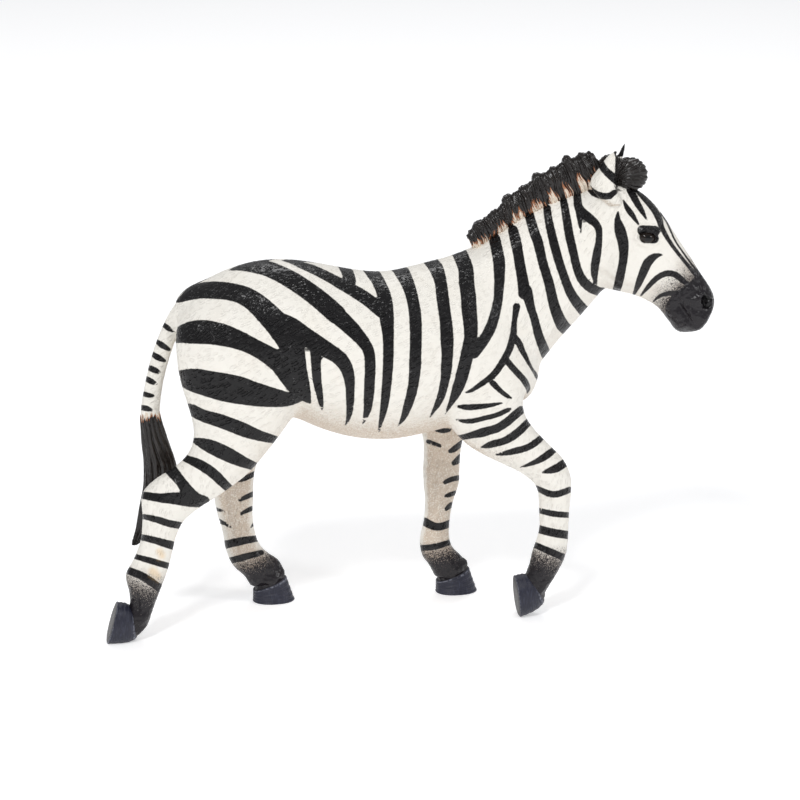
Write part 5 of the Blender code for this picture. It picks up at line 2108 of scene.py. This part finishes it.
@dataclass(frozen=True)
class HairPaint(Finish):
    """Near-black hair, with reddish brown and white left between its roots."""

    hair: RGB = (0.009, 0.0065, 0.0055)
    crest: RGB = (0.030, 0.020, 0.016)
    root: RGB = (0.38, 0.14, 0.055)
    pale: RGB = (0.80, 0.70, 0.58)

    def make(self) -> bpy.types.Material:
        """Mixes the paint.

        Returns:
            The material.
        """
        paint, w, shader = self.start("mane_hair")
        place, strand, root = w.place(), w.stored("strand"), w.stored("root")
        line = self.use(w, Effect.STRANDS, Place=place, Strand=strand, Fineness=3.0)
        ridge = w.rest(w.stored("groove"))
        # Lighter brown along the ridges of the strands
        ridge_tone = w.times(w.step(line, 0.5, 0.72), w.times(ridge, 0.55))
        colour = w.mix(ridge_tone, self.hair, self.crest)
        tick = self.use(w, Effect.STRANDS, Place=place, Strand=strand, Fineness=3.4)
        reach = w.plus(root, w.times(w.math("SUBTRACT", tick, 0.5), 2.6))
        brown = w.times(w.step(reach, 0.50, 0.62), w.step(root, 0.02, 0.22))
        colour = w.mix(brown, colour, self.root)
        light = w.times(w.step(reach, 0.72, 0.86), w.step(root, 0.1, 0.35))
        colour = w.mix(light, colour, self.pale)
        w.fill(shader, {"Base Color": colour, "Roughness": 0.25, "Specular IOR Level": 0.5})
        self.bump(w, shader, line, 0.30)
        return paint


@dataclass(frozen=True)
class HornPaint(Finish):
    """Slate hooves with light rims, worn and with painted highlights."""

    wall: RGB = (0.0085, 0.0095, 0.024)
    streaks: RGB = (0.06, 0.065, 0.105)
    # Light rims: worn edges with painted highlights
    edge: RGB = (0.22, 0.23, 0.28)
    sole: RGB = (0.022, 0.020, 0.022)

    def make(self) -> bpy.types.Material:
        """Mixes the paint.

        Returns:
            The material.
        """
        paint, w, shader = self.start("hoof_horn")
        place = w.place()
        height = w.stored("height")
        upright = {0: place, 1: (1.0, 1.0, 0.18)}
        grain = w.add("VectorMath", upright, operation="MULTIPLY").outputs[0]
        streak = w.noise(grain, 3.2, 4.0)
        pale = w.times(w.step(streak, 0.45, 0.75), 0.35)
        colour = w.mix(pale, self.wall, self.streaks)
        # Painted highlight and wear: light lines along the coronet and round the sole's edge
        top = w.times(w.step(height, 0.88, 0.95), w.step(height, 1.0, 0.96))
        rim = w.math("MAXIMUM", top, w.times(w.step(height, 0.055, 0.02), 0.8))
        rim_highlight_and_wear = w.times(rim, w.step(w.noise(place, 1.5, 3.0), 0.40, 0.62))
        colour = w.mix(w.times(rim_highlight_and_wear, 0.7), colour, self.edge)
        colour = w.mix(w.stored("sole"), colour, self.sole)
        w.fill(shader, {"Base Color": colour, "Roughness": w.plus(0.34, w.times(streak, 0.22))})
        rings = w.math("SINE", w.plus(w.times(height, 70.0), w.times(streak, 3.0)))
        self.bump(w, shader, w.plus(w.times(rings, 0.2), streak), 0.10)
        return paint


@dataclass(frozen=True)
class EyeGloss(Finish):
    """A dark brown eye under clear lacquer."""

    iris: RGB = (0.010, 0.006, 0.004)
    pupil: RGB = (0.003, 0.003, 0.003)

    def make(self) -> bpy.types.Material:
        """Mixes the paint.

        Returns:
            The material.
        """
        paint, w, shader = self.start("eye_gloss")
        fleck = w.times(w.math("SUBTRACT", w.noise(w.place(), 6.0), 0.5), 0.3)
        out = w.step(w.plus(w.stored("pupil"), fleck), 0.62, 0.86)
        w.fill(shader, {"Base Color": w.mix(out, self.pupil, self.iris)})
        w.fill(shader, {"Roughness": 0.12, "Specular IOR Level": 0.2})
        w.fill(shader, {"Coat Weight": 0.3, "Coat Roughness": 0.04})
        return paint


@dataclass(frozen=True)
class Backdrop(Finish):
    """The studio's pale matt sheet."""

    colour: RGB = (0.93, 0.93, 0.935)
    cloud: RGB = (0.91, 0.91, 0.92)
    glow: float = 0.34

    def make(self) -> bpy.types.Material:
        """Mixes the paint.

        Returns:
            The material.
        """
        paint, w, shader = self.start("pale_backdrop")
        share = w.times(w.noise(w.place(), 0.01), 0.3)
        w.fill(shader, {"Base Color": w.mix(share, self.colour, self.cloud), "Roughness": 0.8})
        w.fill(shader, {"Emission Color": (1.0, 1.0, 1.0, 1.0), "Emission Strength": self.glow})
        return paint


@dataclass
class Studio:
    """Plain pale floor under soft lights."""

    reach: float = 4.0
    sky: float = 0.42
    shown: float = 0.97
    # Where each lamp hangs, its side and its watts
    lamps: Rows = (
        (-0.45, -0.75, 1.00, 0.24, 6.8),
        (0.80, -0.55, 0.60, 0.20, 2.0),
        (0.10, 0.70, 1.00, 0.40, 2.9),
    )

    def build(self) -> None:
        """Lays the floor, lights the sky and hangs the lamps."""
        mesh = bpy.data.meshes.new("floor")
        bm = bmesh.new()
        bmesh.ops.create_grid(bm, x_segments=2, y_segments=2, size=self.reach)
        bm.to_mesh(mesh)
        bm.free()
        floor = bpy.data.objects.new("floor", mesh)
        bpy.context.scene.collection.objects.link(floor)
        mesh.materials.append(Backdrop().make())
        world = bpy.data.worlds.new("studio")
        world.use_nodes = True
        w = Wiring(world.node_tree)
        seen = w.add("LightPath").outputs["Is Camera Ray"]
        strength = w.plus(w.times(seen, self.shown - self.sky), self.sky)
        sky = {"Color": (0.97, 0.98, 1.0, 1.0), "Strength": strength}
        w.fill(world.node_tree.nodes["Background"], sky)
        bpy.context.scene.world = world
        for k, (x, y, z, side, watts) in enumerate(self.lamps):
            data = bpy.data.lights.new(f"soft_lamp_{k}", "AREA")
            data.size = side
            data.energy = watts
            lamp = bpy.data.objects.new(data.name, data)
            lamp.location = (x, y, z)
            lamp.rotation_euler = Vector((x, y, z - 0.05)).to_track_quat("Z", "Y").to_euler()
            bpy.context.scene.collection.objects.link(lamp)
        bpy.context.scene.view_settings.view_transform = "Standard"


def main() -> None:
    """Builds the figure and its studio."""
    logging.basicConfig(level=logging.INFO, format="%(message)s")
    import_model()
    view = PhotoView()
    view.camera()
    legs = [
        Leg("far_hind", FAR_HIND, FAR_HIND_STRIPES, (12.0, 15.2), 6.0),
        Leg("far_fore", FAR_FORE, FAR_FORE_STRIPES, (10.6, 14.8), 5.9),
        Leg("near_hind", NEAR_HIND, NEAR_HIND_STRIPES, (11.8, 16.6), -5.3, 106.0, -1.0),
        Leg("near_fore", NEAR_FORE, NEAR_FORE_STRIPES, (11.6, 16.0), -2.7, 84.0, -1.0),
    ]
    eyes = Eyes()
    skin = Skin(Ears(), eyes, legs, view).model()
    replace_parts(skin.set_down(CoatPaint().make()), "zebra")
    hair = HairPaint().make()
    Mane().build(hair)
    Forelock().build(hair)
    Tuft().build(hair)
    horn = HornPaint().make()
    for leg in legs:
        Hoof(leg).build(horn)
    eyes.build(EyeGloss().make())
    Studio().build()


if __name__ == "__main__":
    main()
